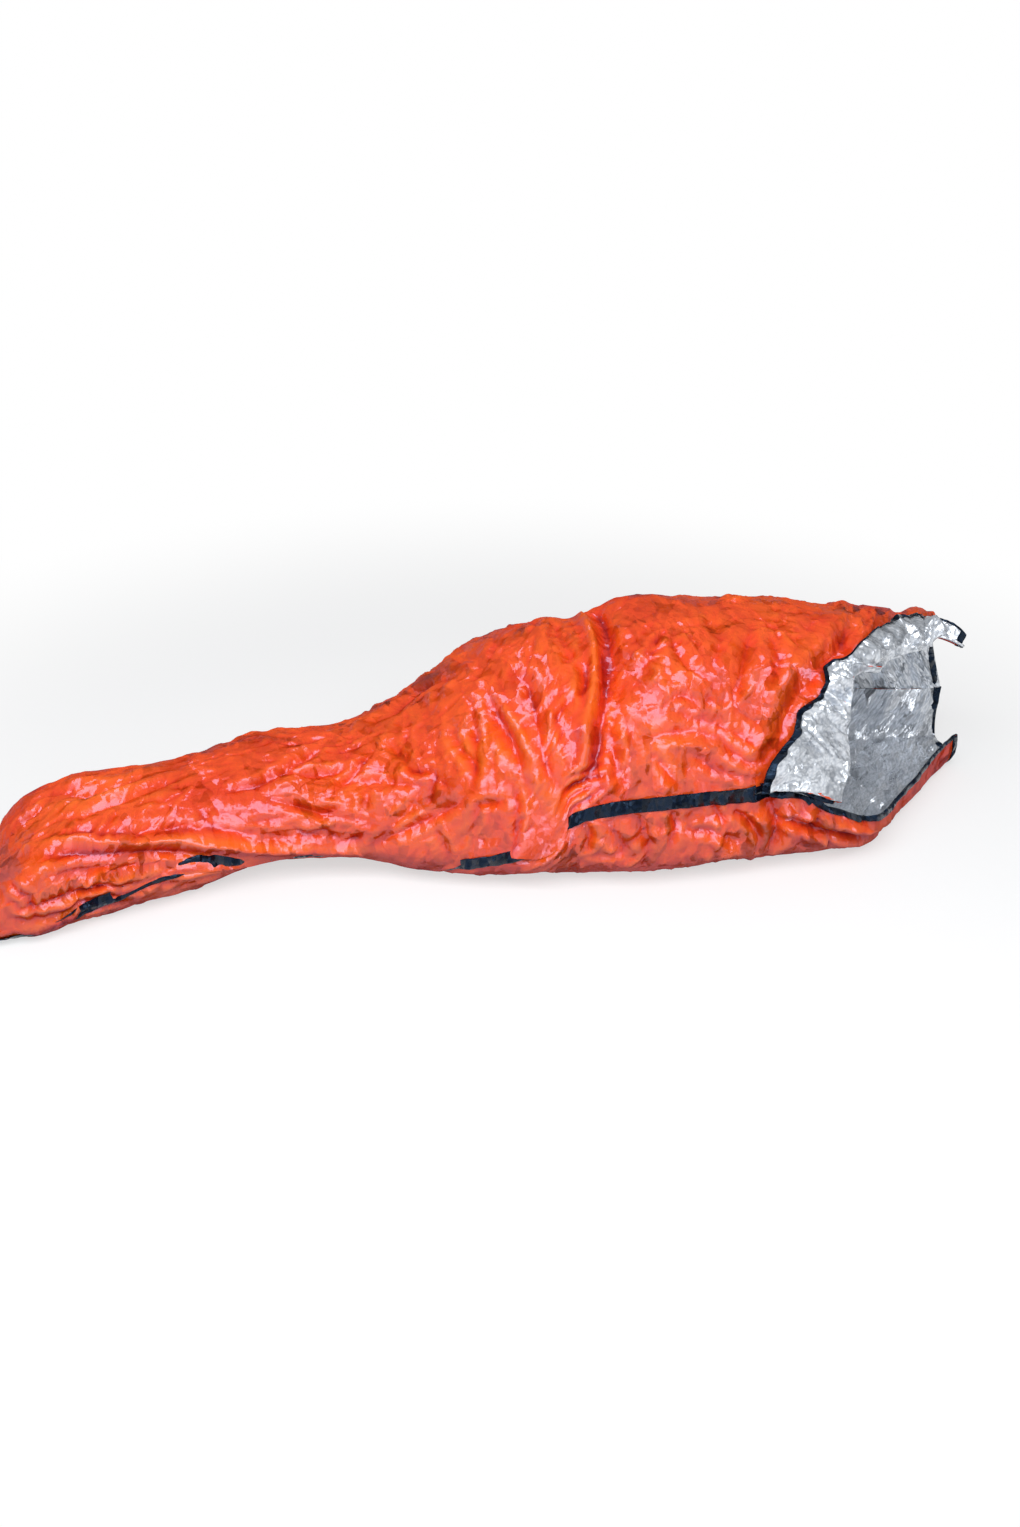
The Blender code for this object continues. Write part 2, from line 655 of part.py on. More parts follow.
def settle(pieces, hinges):
    """Move all pieces so that the middle of the underside of their common box is the origin."""
    bpy.context.view_layer.update()
    graph = bpy.context.evaluated_depsgraph_get()
    corners = []
    for piece in pieces:
        ready = piece.evaluated_get(graph)
        corners += [ready.matrix_world @ Vector(corner) for corner in ready.bound_box]
    low = np.min(corners, axis=0)
    high = np.max(corners, axis=0)
    shift = Vector((-(low[0] + high[0]) / 2, -(low[1] + high[1]) / 2, -low[2]))
    for obj in [piece for piece in pieces if piece.parent is None] + hinges:
        obj.matrix_world = Matrix.Translation(shift) @ obj.matrix_world
    return shift, high - low


def build():
    for obj in list(bpy.data.objects):
        bpy.data.objects.remove(obj)
    collection = bpy.data.collections.new("emergency_bivvy_bag")
    bpy.context.scene.collection.children.link(collection)
    lapel = rim_pieces("lapel", lapel_panel())
    hood = rim_pieces("hood", hood_panel())
    pieces = bag_pieces() + rim_pieces("corner", corner_panel()) + lapel + hood
    hinges = [hinge("lapel_hinge", 0, BEND_SHARE, lapel), hinge("hood_hinge", BEND_SHARE, TOP_SHARE, hood)]
    for obj in pieces + hinges:
        collection.objects.link(obj)
    shift, size = settle(pieces, hinges)
    print("shift", [round(v, 5) for v in shift], "size", [round(float(v), 4) for v in size])
    for empty in hinges:
        axis = empty.matrix_world.to_3x3().col[2]
        print(empty.name, [round(v, 5) for v in empty.matrix_world.translation], [round(v, 5) for v in axis])


build()
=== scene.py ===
from collections import namedtuple
from math import cos, radians, sin

import bmesh
import bpy
import numpy as np
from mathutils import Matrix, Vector


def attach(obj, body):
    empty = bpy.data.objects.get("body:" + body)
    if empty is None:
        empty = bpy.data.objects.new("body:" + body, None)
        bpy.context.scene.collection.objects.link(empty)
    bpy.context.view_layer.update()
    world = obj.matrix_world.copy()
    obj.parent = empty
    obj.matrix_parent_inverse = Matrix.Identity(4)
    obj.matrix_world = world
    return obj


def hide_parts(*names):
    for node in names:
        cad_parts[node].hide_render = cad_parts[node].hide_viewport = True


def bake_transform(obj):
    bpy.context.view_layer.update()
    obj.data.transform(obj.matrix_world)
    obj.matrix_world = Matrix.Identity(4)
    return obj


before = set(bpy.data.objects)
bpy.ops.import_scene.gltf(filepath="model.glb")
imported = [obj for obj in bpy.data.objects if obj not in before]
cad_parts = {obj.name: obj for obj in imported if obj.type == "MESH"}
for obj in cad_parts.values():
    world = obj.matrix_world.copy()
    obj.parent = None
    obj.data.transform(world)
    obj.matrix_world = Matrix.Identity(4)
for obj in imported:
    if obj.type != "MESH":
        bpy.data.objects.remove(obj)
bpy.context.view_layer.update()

bl_info = {
    "name": "Emergency Bivvy Bag",
    "version": (1, 0, 0),
    "blender": (4, 5, 0),
    "location": "3D View > Sidebar > Bivvy",
    "description": "Dresses the bivvy bag in crumpled film, silver lining and bound edges",
    "category": "Add Mesh",
}

# Moves the coordinates of the sections below to the frame's
SHIFT = np.array([-0.02185, -0.03516, 0.0010])

# ---------------------------------------------------------------- form of the filled bag

SLIT_START = 0.419
SLIT_LENGTH = 0.016
SLIT_DROP = 0.004
CREASE_FOOT_X = 0.600
CREASE_BEND_X = 0.660
CREASE_BEND_GIRTH = 0.300
CREASE_TOP_X = 0.940
CREASE_TOP_GIRTH = 0.425
FAR_RIM_X = 1.030
SPREAD_START = 0.080
SPREAD_POWER = 1.6
STRAIGHTEN_LENGTH = 0.140
LIP_END_X = 1.010
FLATTEN = 0.014
ARC_STEPS = 64
BEND_SHARE = 3 / 12
TOP_SHARE = 7 / 12
RIM_TAPE_SHARE = 7 / 12

Section = namedtuple(
    "Section",
    "x near width top widest lift crest near_round far_round base_round near_seam far_seam",
)

# For each place from foot to head: the near side's Y, the width, the height of the crest, the
# share of the height at the widest level, the lift off the ground, the share of the width at
# the crest, three roundness exponents (2 is an ellipse) and the two seam heights
SECTIONS = (
    Section(-0.985, -0.162, 0.300, 0.009, 0.50, 0.0024, 0.55, 2.6, 2.4, 3.0, 0.0055, 0.0055),
    Section(-0.970, -0.195, 0.340, 0.085, 0.60, 0.0014, 0.60, 3.0, 2.4, 4.0, 0.010, 0.012),
    Section(-0.920, -0.195, 0.350, 0.145, 0.65, 0.000, 0.62, 3.4, 2.2, 4.5, 0.010, 0.050),
    Section(-0.800, -0.165, 0.330, 0.190, 0.60, 0.000, 0.62, 3.0, 2.2, 4.0, 0.048, 0.080),
    Section(-0.600, -0.110, 0.300, 0.195, 0.50, 0.008, 0.60, 2.5, 2.2, 3.5, 0.086, 0.090),
    Section(-0.430, -0.075, 0.310, 0.215, 0.45, 0.028, 0.58, 2.2, 2.2, 3.0, 0.050, 0.095),
    Section(-0.300, -0.095, 0.360, 0.210, 0.40, 0.028, 0.57, 2.2, 2.2, 3.0, 0.042, 0.095),
    Section(-0.180, -0.140, 0.430, 0.255, 0.35, 0.010, 0.56, 2.2, 2.2, 3.0, 0.043, 0.100),
    Section(-0.060, -0.190, 0.500, 0.345, 0.33, 0.000, 0.55, 2.2, 2.2, 3.2, 0.070, 0.110),
    Section(0.040, -0.215, 0.530, 0.400, 0.34, 0.000, 0.54, 2.2, 2.2, 3.4, 0.105, 0.120),
    Section(0.100, -0.225, 0.540, 0.412, 0.34, 0.000, 0.54, 2.2, 2.2, 3.4, 0.166, 0.120),
    Section(0.190, -0.240, 0.550, 0.412, 0.36, 0.000, 0.52, 2.2, 2.2, 3.5, 0.184, 0.120),
    Section(0.270, -0.255, 0.560, 0.455, 0.36, 0.000, 0.50, 2.2, 2.2, 3.5, 0.193, 0.120),
    Section(0.430, -0.245, 0.570, 0.437, 0.38, 0.000, 0.50, 2.2, 2.2, 3.5, 0.186, 0.120),
    Section(0.480, -0.245, 0.570, 0.434, 0.37, 0.000, 0.50, 2.1, 2.2, 3.5, 0.188, 0.120),
    Section(0.600, -0.240, 0.560, 0.425, 0.34, 0.000, 0.50, 2.0, 2.2, 3.5, 0.140, 0.120),
    Section(0.690, -0.215, 0.520, 0.405, 0.28, 0.000, 0.50, 1.9, 2.2, 3.5, 0.095, 0.120),
    Section(0.780, -0.130, 0.420, 0.380, 0.25, 0.000, 0.55, 2.0, 2.2, 3.5, 0.080, 0.120),
    Section(0.860, -0.050, 0.330, 0.355, 0.25, 0.000, 0.55, 2.1, 2.2, 3.5, 0.080, 0.120),
    Section(0.940, 0.040, 0.220, 0.338, 0.25, 0.000, 0.55, 2.1, 2.2, 3.2, 0.080, 0.120),
    Section(1.030, 0.125, 0.125, 0.310, 0.25, 0.006, 0.55, 2.1, 2.2, 2.6, 0.080, 0.120),
)
FOOT_X = SECTIONS[0].x
FOOT_WALL_X = -0.962

# Free edges of the turned-back rim: share of the crease, then station and share of the girth
LAPEL_EDGE = (
    (0.00, 0.446, 0.002),
    (0.15, 0.447, 0.040),
    (0.30, 0.470, 0.078),
    (0.45, 0.492, 0.105),
    (0.60, 0.505, 0.150),
    (0.80, 0.540, 0.190),
    (1.00, 0.553, 0.222),
)
HOOD_EDGE = (
    (0.00, 0.540, 0.352),
    (0.20, 0.525, 0.440),
    (0.45, 0.520, 0.530),
    (0.65, 0.535, 0.600),
    (0.85, 0.562, 0.625),
    (1.00, 0.590, 0.638),
)
# How far the hood's tip reaches past its last column at the crease, what the free edge adds to
# that, and how the tip bends
HOOD_TIP_REACH = np.array([0.060, -0.002, -0.026])
HOOD_TIP_LEAN = np.array([0.006, -0.020, 0.018])
HOOD_TIP_CURL = np.array([0.004, -0.010, 0.004])
HOOD_TIP_DROOP = np.array([0, -0.004, -0.010])
HOOD_TIP_NARROWING = 0.95
HOOD_TIP_COLUMNS = 26
# Rows in from the free edge at which the tape's edge, middle and inner line lie
TAPE_ROWS = (1, 4, 7)
# Share of the hood's tape that lies on the silver face, by column: most is turned under at first
HOOD_TAPE_COLUMNS = (0, 60, 90)
HOOD_TAPE_SHOWN = (0.15, 0.15, 0.75)
# Step between two neighbouring places that give a surface's slope
SLOPE_STEP = 0.003


def ease(t):
    """Smooth step from 0 to 1."""
    t = np.clip(t, 0, 1)
    return t * t * (3 - 2 * t)


def unit(vectors):
    """Vectors of length one."""
    return vectors / np.maximum(np.linalg.norm(vectors, axis=-1, keepdims=True), 1e-12)


def steady_slopes(places, values):
    """Slopes of a curve through the values that never overshoots between them."""
    step = np.diff(places)
    rise = np.diff(values) / step
    slopes = np.zeros(len(places))
    slopes[0] = rise[0]
    slopes[-1] = rise[-1]
    for i in range(1, len(places) - 1):
        if rise[i - 1] * rise[i] > 0:
            before = 2 * step[i] + step[i - 1]
            after = step[i] + 2 * step[i - 1]
            slopes[i] = (before + after) / (before / rise[i - 1] + after / rise[i])
    return slopes


def smooth(places, values, x):
    """Cubic curve through the values."""
    places = np.asarray(places, float)
    values = np.asarray(values, float)
    slopes = steady_slopes(places, values)
    k = np.clip(np.searchsorted(places, x, side="right") - 1, 0, len(places) - 2)
    step = places[k + 1] - places[k]
    t = (x - places[k]) / step
    return (
        (2 * t**3 - 3 * t**2 + 1) * values[k]
        + (t**3 - 2 * t**2 + t) * step * slopes[k]
        + (3 * t**2 - 2 * t**3) * values[k + 1]
        + (t**3 - t**2) * step * slopes[k + 1]
    )


def running_length(points):
    """Length along a line of points from its start to each of them."""
    return np.concatenate([[0], np.cumsum(np.linalg.norm(np.diff(points, axis=0), axis=-1))])


def section_at(x):
    """Section of the filled bag at a station."""
    places = [section.x for section in SECTIONS]
    fields = [smooth(places, [getattr(s, name) for s in SECTIONS], x) for name in Section._fields[1:]]
    return Section(x, *fields)


def levels(s):
    """Widest level, and the raw depth below it."""
    wide = s.lift + s.widest * (s.top - s.lift)
    return wide, wide - s.lift + FLATTEN * np.clip((s.top - s.lift) / 0.2, 0, 1)


def outline(s, angle):
    """Point of a section at an angle: 0 is the far side, a quarter turn the crest."""
    across = np.cos(angle)
    up = np.sin(angle)
    power = np.where(up >= 0, np.where(across < 0, s.near_round, s.far_round), s.base_round)
    reach = np.where(across < 0, s.width * s.crest, s.width * (1 - s.crest))
    y = s.near + s.width * s.crest + reach * np.sign(across) * np.abs(across) ** (2 / power)
    wide, depth = levels(s)
    height = np.where(up >= 0, s.top - wide, depth)
    z = wide + height * np.sign(up) * np.abs(up) ** (2 / power)
    return y, np.maximum(z, s.lift)


def seam_lean(s, seam, roundness):
    """Angle above the widest level, negative below it, at which the outline meets a height."""
    wide, depth = levels(s)
    above = seam >= wide
    height = np.where(above, s.top - wide, depth)
    power = np.where(above, roundness, s.base_round)
    lean = np.arcsin(np.clip(np.abs(seam - wide) / height, 0, 0.999) ** (power / 2))
    return np.where(above, lean, -lean)


def walk(x, upper):
    """Section, its angles at the two seams, and the running length of the outline between them."""
    s = section_at(x)
    near = np.pi - seam_lean(s, s.near_seam, s.near_round)
    far = seam_lean(s, s.far_seam, s.far_round) + (0 if upper else 2 * np.pi)
    spread = Section(*[np.asarray(field)[..., None] for field in s])
    turn = np.linspace(0, 1, ARC_STEPS + 1)
    y, z = outline(spread, near[..., None] + turn * (far - near)[..., None])
    run = np.cumsum(np.hypot(np.diff(y), np.diff(z)), -1)
    return s, near, far, np.concatenate([np.zeros(np.shape(x) + (1,)), run], -1)


def tube(x, share, upper, inset=0):
    """Point at a share of the way from the near seam to the far seam, and its length round."""
    x, share, inset = np.broadcast_arrays(np.asarray(x, float), share, inset)
    s, near, far, run = walk(x, upper)
    goal = share * run[..., -1] + inset
    k = np.clip((run < goal[..., None]).sum(-1) - 1, 0, ARC_STEPS - 1)
    before = np.take_along_axis(run, k[..., None], -1)[..., 0]
    after = np.take_along_axis(run, k[..., None] + 1, -1)[..., 0]
    part = (goal - before) / (after - before)
    y, z = outline(s, near + (k + part) / ARC_STEPS * (far - near))
    return np.stack([x, y, z], -1), goal


def mouth_edge(m):
    """X and share of the girth of the upper panel's mouth, near seam to far seam."""
    shares = (0, BEND_SHARE, TOP_SHARE, 1)
    x = np.interp(m, shares, (CREASE_FOOT_X, CREASE_BEND_X, CREASE_TOP_X, FAR_RIM_X))
    return x, np.interp(m, shares, (0, CREASE_BEND_GIRTH, CREASE_TOP_GIRTH, 1))


def crease_offset(m):
    """What straightens the mouth's edge from the seam to the bend and from the bend to the top."""
    shares = (0, BEND_SHARE, TOP_SHARE)
    corners = [tube(*mouth_edge(share), True)[0] for share in shares]
    line = np.stack([np.interp(m, shares, [corner[i] for corner in corners]) for i in range(3)], -1)
    plain = tube(*mouth_edge(m), True)[0]
    return np.where((m <= TOP_SHARE)[..., None], line - plain, 0)


def slit_drop(u):
    """How far the open edge has dropped from the seam at a station."""
    return SLIT_DROP * ease((u - SLIT_START) / SLIT_LENGTH)


def spread_at(u):
    """How much the stations have swung from straight rings to the slanted mouth."""
    return np.clip((u - SPREAD_START) / (CREASE_FOOT_X - SPREAD_START), 0, 1) ** SPREAD_POWER


def upper_form(u, m):
    """Point of the upper panel, its length along the bag and its length round it."""
    u = np.asarray(u, float)
    m = np.asarray(m, float)
    edge_x, edge_share = mouth_edge(m)
    spread = spread_at(u)
    x = u + spread * (edge_x - CREASE_FOOT_X)
    share = m + spread * (edge_share - m)
    point, around = tube(x, share, True, (1 - m) * slit_drop(u))
    pull = ease((u - CREASE_FOOT_X + STRAIGHTEN_LENGTH) / STRAIGHTEN_LENGTH)
    return point + pull[..., None] * crease_offset(m), x + 0 * around, around


def lower_form(u, m):
    """Point of the lower panel, its length along the bag and its length round it, negative."""
    u = np.asarray(u, float)
    m = np.asarray(m, float)
    far_x = u + spread_at(u) * (FAR_RIM_X - CREASE_FOOT_X)
    parting = SLIT_START + SLIT_LENGTH
    beyond = np.clip((u - parting) / (CREASE_FOOT_X - parting), 0, 1)
    near_x = u + beyond * (LIP_END_X - CREASE_FOOT_X)
    x = near_x + m * (far_x - near_x)
    point, around = tube(x, m, False, (1 - m) * slit_drop(u))
    return point, x + 0 * around, -around


# ---------------------------------------------------------------- crumples and folds


TABLE_SIZE = 257


def rolling(a, b, seed):
    """Smooth random hills one unit across."""
    table = np.random.default_rng(seed).random((TABLE_SIZE, TABLE_SIZE)) - 0.5
    i = np.floor(a).astype(int)
    j = np.floor(b).astype(int)
    f = ease(a - i)
    g = ease(b - j)
    steps = ((0, 0), (0, 1), (1, 0), (1, 1))
    h00, h01, h10, h11 = [table[(i + di) % TABLE_SIZE, (j + dj) % TABLE_SIZE] for di, dj in steps]
    return (h00 * (1 - f) + h10 * f) * (1 - g) + (h01 * (1 - f) + h11 * f) * g


# One fold: places along the bag and round it, its half width, its depth (negative is a ridge),
# and how much higher its left bank is, seen along the path
Fold = namedtuple("Fold", "path width depth lean")

FOLDS = (
    # The deep fold at the waist
    Fold(
        ((0.222, 0.520), (0.216, 0.446), (0.204, 0.356), (0.192, 0.280), (0.176, 0.220),
         (0.156, 0.163), (0.146, 0.114), (0.132, 0.080), (0.110, 0.060), (0.084, 0.060)),
        0.013, 0.026, -0.8,
    ),
    Fold(((0.176, 0.406), (0.164, 0.309), (0.140, 0.232), (0.146, 0.177)), 0.012, 0.007, -0.5),
    Fold(((0.128, 0.473), (0.128, 0.338), (0.144, 0.278), (0.148, 0.232)), 0.014, 0.006, -0.3),
    Fold(
        ((0.224, 0.277), (0.192, 0.203), (0.172, 0.146), (0.172, 0.089), (0.192, 0.037)),
        0.012, 0.006, 0.3,
    ),
    Fold(((0.284, 0.320), (0.248, 0.263), (0.220, 0.220)), 0.012, 0.006, 0.3),
    # Folds over the hip
    Fold(
        ((0.020, 0.368), (0.036, 0.334), (0.040, 0.287), (0.040, 0.224), (0.044, 0.164),
         (0.064, 0.104), (0.080, 0.067)),
        0.012, 0.009, 0.4,
    ),
    Fold(((0.056, 0.181), (0.080, 0.207), (0.116, 0.224)), 0.008, 0.004, 0),
    Fold(((-0.036, 0.318), (-0.012, 0.249), (0.000, 0.181), (0.012, 0.130)), 0.011, 0.007, 0.3),
    Fold(((-0.008, 0.389), (-0.004, 0.306), (0.016, 0.249), (0.028, 0.200)), 0.011, 0.006, -0.3),
    Fold(((-0.064, 0.332), (-0.068, 0.271), (-0.076, 0.203), (-0.088, 0.147)), 0.010, 0.007, 0.4),
    Fold(((-0.032, 0.354), (-0.024, 0.271), (-0.012, 0.220), (0.000, 0.181)), 0.012, 0.009, 0.5),
    Fold(((-0.016, 0.150), (-0.008, 0.105), (-0.012, 0.069), (-0.015, 0.015)), 0.009, 0.007, 0.2),
    Fold(((-0.092, 0.070), (-0.076, 0.120), (-0.028, 0.117)), 0.008, 0.005, 0),
    Fold(((-0.156, 0.080), (-0.128, 0.022)), 0.009, 0.005, 0),
    # Pleats that run in under the overlap beside the seam
    Fold(((0.080, 0.086), (0.116, 0.080), (0.150, 0.088)), 0.006, 0.006, 0.3),
    Fold(((0.080, 0.066), (0.112, 0.063), (0.150, 0.066)), 0.006, 0.007, 0.3),
    Fold(((0.080, 0.041), (0.112, 0.046), (0.146, 0.053)), 0.006, 0.007, 0.3),
    Fold(((0.084, 0.022), (0.120, 0.030), (0.150, 0.043)), 0.006, 0.006, 0.3),
    # Folds that run from the end of the slit across the chest
    Fold(
        ((0.230, 0.124), (0.272, 0.134), (0.324, 0.133), (0.372, 0.114), (0.396, 0.086),
         (0.420, 0.067), (0.456, 0.058)),
        0.012, 0.009, -0.3,
    ),
    Fold(((0.300, 0.162), (0.364, 0.145), (0.416, 0.114), (0.456, 0.079)), 0.012, 0.008, -0.4),
    Fold(((0.316, 0.087), (0.356, 0.059), (0.408, 0.040), (0.452, 0.030)), 0.009, 0.005, 0),
    Fold(((0.244, 0.094), (0.268, 0.053), (0.292, 0.025)), 0.009, 0.005, 0),
    Fold(((0.312, 0.335), (0.324, 0.276), (0.340, 0.232)), 0.010, 0.005, 0.3),
    Fold(((0.504, 0.377), (0.448, 0.268), (0.416, 0.199)), 0.012, 0.006, 0.3),
    Fold(((0.524, 0.344), (0.520, 0.266), (0.488, 0.205)), 0.012, 0.006, 0),
    Fold(((0.432, 0.419), (0.416, 0.322), (0.384, 0.256)), 0.012, 0.005, 0),
    Fold(((0.280, 0.193), (0.308, 0.202), (0.328, 0.186)), 0.009, 0.004, 0),
    # The hollow along the lapel's free edge
    Fold(
        ((0.700, 0.400), (0.652, 0.327), (0.590, 0.255), (0.545, 0.195), (0.515, 0.140),
         (0.495, 0.095), (0.455, 0.055)),
        0.020, 0.016, -0.2,
    ),
    # Near wall below the seam
    Fold(((0.204, -0.018), (0.220, -0.044), (0.236, -0.109)), 0.010, 0.007, 0.2),
    Fold(((0.308, -0.063), (0.360, -0.073), (0.416, -0.102)), 0.010, 0.007, 0),
    Fold(((0.160, -0.025), (0.172, -0.066), (0.200, -0.110)), 0.010, 0.006, 0),
    Fold(
        ((0.455, -0.004), (0.470, -0.026), (0.482, -0.058), (0.490, -0.094), (0.480, -0.130)),
        0.011, 0.014, 0.2,
    ),
    # The collar under the lip: a bulge, the hollow below it and short creases across
    Fold(((0.500, -0.028), (0.580, -0.034), (0.660, -0.030), (0.750, -0.026)), 0.013, -0.008, 0),
    Fold(((0.490, -0.062), (0.560, -0.068), (0.640, -0.060), (0.730, -0.050)), 0.010, 0.010, 0),
    Fold(((0.528, -0.003), (0.536, -0.026), (0.532, -0.050)), 0.006, 0.007, 0.3),
    Fold(((0.575, -0.003), (0.568, -0.036), (0.558, -0.085)), 0.006, 0.007, 0),
    Fold(((0.618, -0.004), (0.630, -0.046)), 0.006, 0.006, 0),
    Fold(((0.672, -0.004), (0.666, -0.036)), 0.006, 0.006, 0),
    Fold(((0.600, -0.060), (0.606, -0.100)), 0.007, 0.008, 0),
    Fold(((0.352, -0.008), (0.372, -0.040), (0.380, -0.070)), 0.008, 0.007, 0.3),
    Fold(((0.268, -0.012), (0.284, -0.052), (0.272, -0.096)), 0.008, 0.007, -0.3),
    Fold(((0.110, -0.016), (0.124, -0.050), (0.118, -0.080)), 0.008, 0.007, 0.3),
    Fold(((0.400, -0.030), (0.430, -0.058), (0.452, -0.094)), 0.008, 0.008, 0),
    # Legs: the ridge along the underside, the hollow on the foot and small folds at the knee
    Fold(((-0.868, 0.150), (-0.752, 0.087), (-0.636, 0.033), (-0.520, 0.008)), 0.012, 0.010, 0),
    Fold(((-0.868, 0.115), (-0.756, 0.062), (-0.640, 0.008), (-0.544, -0.012)), 0.010, 0.009, 0),
    Fold(((-0.940, 0.092), (-0.800, 0.040), (-0.700, 0.005), (-0.580, -0.014)), 0.007, 0.007, 0),
    Fold(((-0.940, 0.058), (-0.820, 0.022), (-0.720, -0.004), (-0.640, -0.026)), 0.007, 0.007, 0),
    Fold(((-0.940, 0.024), (-0.820, -0.004), (-0.740, -0.024)), 0.006, 0.006, 0),
    Fold(((-0.930, 0.130), (-0.900, 0.090), (-0.890, 0.040)), 0.007, 0.006, 0),
    Fold(
        ((-0.900, 0.205), (-0.864, 0.181), (-0.780, 0.118), (-0.696, 0.074), (-0.588, 0.042),
         (-0.488, 0.034), (-0.364, 0.038), (-0.272, 0.038)),
        0.011, -0.011, 0,
    ),
    Fold(
        ((-0.848, 0.241), (-0.796, 0.200), (-0.736, 0.209), (-0.684, 0.205), (-0.612, 0.197)),
        0.014, 0.007, 0.4,
    ),
    Fold(((-0.856, 0.353), (-0.796, 0.285), (-0.748, 0.264), (-0.684, 0.255)), 0.016, 0.009, 0.4),
    Fold(((-0.380, 0.189), (-0.328, 0.199), (-0.292, 0.212)), 0.008, 0.006, 0.3),
    Fold(((-0.344, 0.141), (-0.280, 0.205), (-0.240, 0.266)), 0.009, 0.005, 0),
    Fold(((-0.416, 0.124), (-0.360, 0.106), (-0.328, 0.117)), 0.008, 0.005, 0),
    Fold(((-0.268, 0.150), (-0.276, 0.119)), 0.008, 0.004, 0),
    Fold(((-0.104, 0.265), (-0.088, 0.212), (-0.072, 0.178)), 0.008, 0.006, 0),
    Fold(((-0.272, 0.041), (-0.180, 0.094), (-0.104, 0.132)), 0.009, 0.006, 0.4),
    Fold(((-0.272, 0.046), (-0.208, 0.110), (-0.176, 0.152)), 0.008, 0.004, 0),
    Fold(((-0.216, 0.280), (-0.184, 0.199), (-0.156, 0.199), (-0.128, 0.163)), 0.009, 0.005, 0),
    Fold(((-0.584, 0.104), (-0.572, 0.075), (-0.556, 0.069)), 0.008, 0.004, 0),
    Fold(((-0.532, 0.135), (-0.476, 0.153), (-0.416, 0.195), (-0.348, 0.261)), 0.010, 0.006, 0.3),
    Fold(((-0.416, 0.077), (-0.392, 0.058), (-0.356, 0.075), (-0.332, 0.055)), 0.008, 0.005, 0),
    Fold(((-0.232, 0.365), (-0.192, 0.385), (-0.144, 0.443), (-0.104, 0.435)), 0.014, 0.008, 0.3),
)

# Creases per square metre: length, half width and height, each from least to most
Crease = namedtuple("Crease", "count length width height")
CREASES = (
    Crease(36, (0.140, 0.300), (0.024, 0.044), (0.0050, 0.0100)),
    Crease(330, (0.050, 0.130), (0.009, 0.019), (0.0026, 0.0056)),
    Crease(2200, (0.018, 0.050), (0.0045, 0.0090), (0.0011, 0.0024)),
)
CREASE_SEED = 4
HILL_HEIGHT = 0.007
HILL_SIZE = (0.17, 0.13)
MAP_STEP = 0.0025
MAP_LOW = (-1.06, -0.80)
MAP_HIGH = (1.14, 1.35)
LEG_TURN = 0.15
TRUNK_TURN = 1.25
TURN_SPREAD = 0.60
MOST_RELIEF = 0.030
FOLD_STRENGTH = 1.6
FOLD_END = 0.25
BANK_PLACE = 1.9
BANK_HEIGHT = 0.45
TRUNK_START_X = -0.42
TRUNK_START_LENGTH = 0.30
LEG_CREASE_HEIGHT = 0.78
CALMEST = 0.25
HOLLOW_CELLS = 5
FULL_HOLLOW = 0.005


def fold_height(fold, s, t):
    """Height of one fold at each place: a valley, or a ridge, with soft banks."""
    path = np.array(fold.path)
    steps = np.diff(path, axis=0)
    lengths = np.hypot(*steps.T)
    starts = np.concatenate([[0], np.cumsum(lengths)])
    best = np.full(s.shape, 1e9)
    side = np.zeros(s.shape)
    along = np.zeros(s.shape)
    for (s0, t0), (ds, dt), length, start in zip(path, steps, lengths, starts):
        part = np.clip(((s - s0) * ds + (t - t0) * dt) / length**2, 0, 1)
        rs = s - s0 - part * ds
        rt = t - t0 - part * dt
        away = np.hypot(rs, rt)
        nearer = away < best
        best = np.where(nearer, away, best)
        side = np.where(nearer, (ds * rt - dt * rs) / length, side)
        along = np.where(nearer, (start + part * length) / starts[-1], along)
    swell = np.sqrt(np.clip(np.sin(np.pi * np.clip(along, 0, 1)), 0, 1))
    fade = swell * (1 - FOLD_END) + FOLD_END
    near = best / fold.width
    valley = np.exp(-(near**1.1))
    banks = np.exp(-((near - BANK_PLACE) ** 2)) * (1 + fold.lean * np.tanh(side / fold.width))
    return FOLD_STRENGTH * fold.depth * fade * (BANK_HEIGHT * banks - valley)


def window(low, high):
    """Part of the relief map between two places, with the places of its points."""
    spans = []
    axes = []
    for axis in (0, 1):
        end = int((MAP_HIGH[axis] - MAP_LOW[axis]) / MAP_STEP)
        first = max(int((low[axis] - MAP_LOW[axis]) / MAP_STEP), 0)
        last = min(int((high[axis] - MAP_LOW[axis]) / MAP_STEP) + 2, end)
        spans.append(slice(first, last))
        axes.append(MAP_LOW[axis] + np.arange(first, last) * MAP_STEP)
    return tuple(spans), axes[0][:, None], axes[1][None]


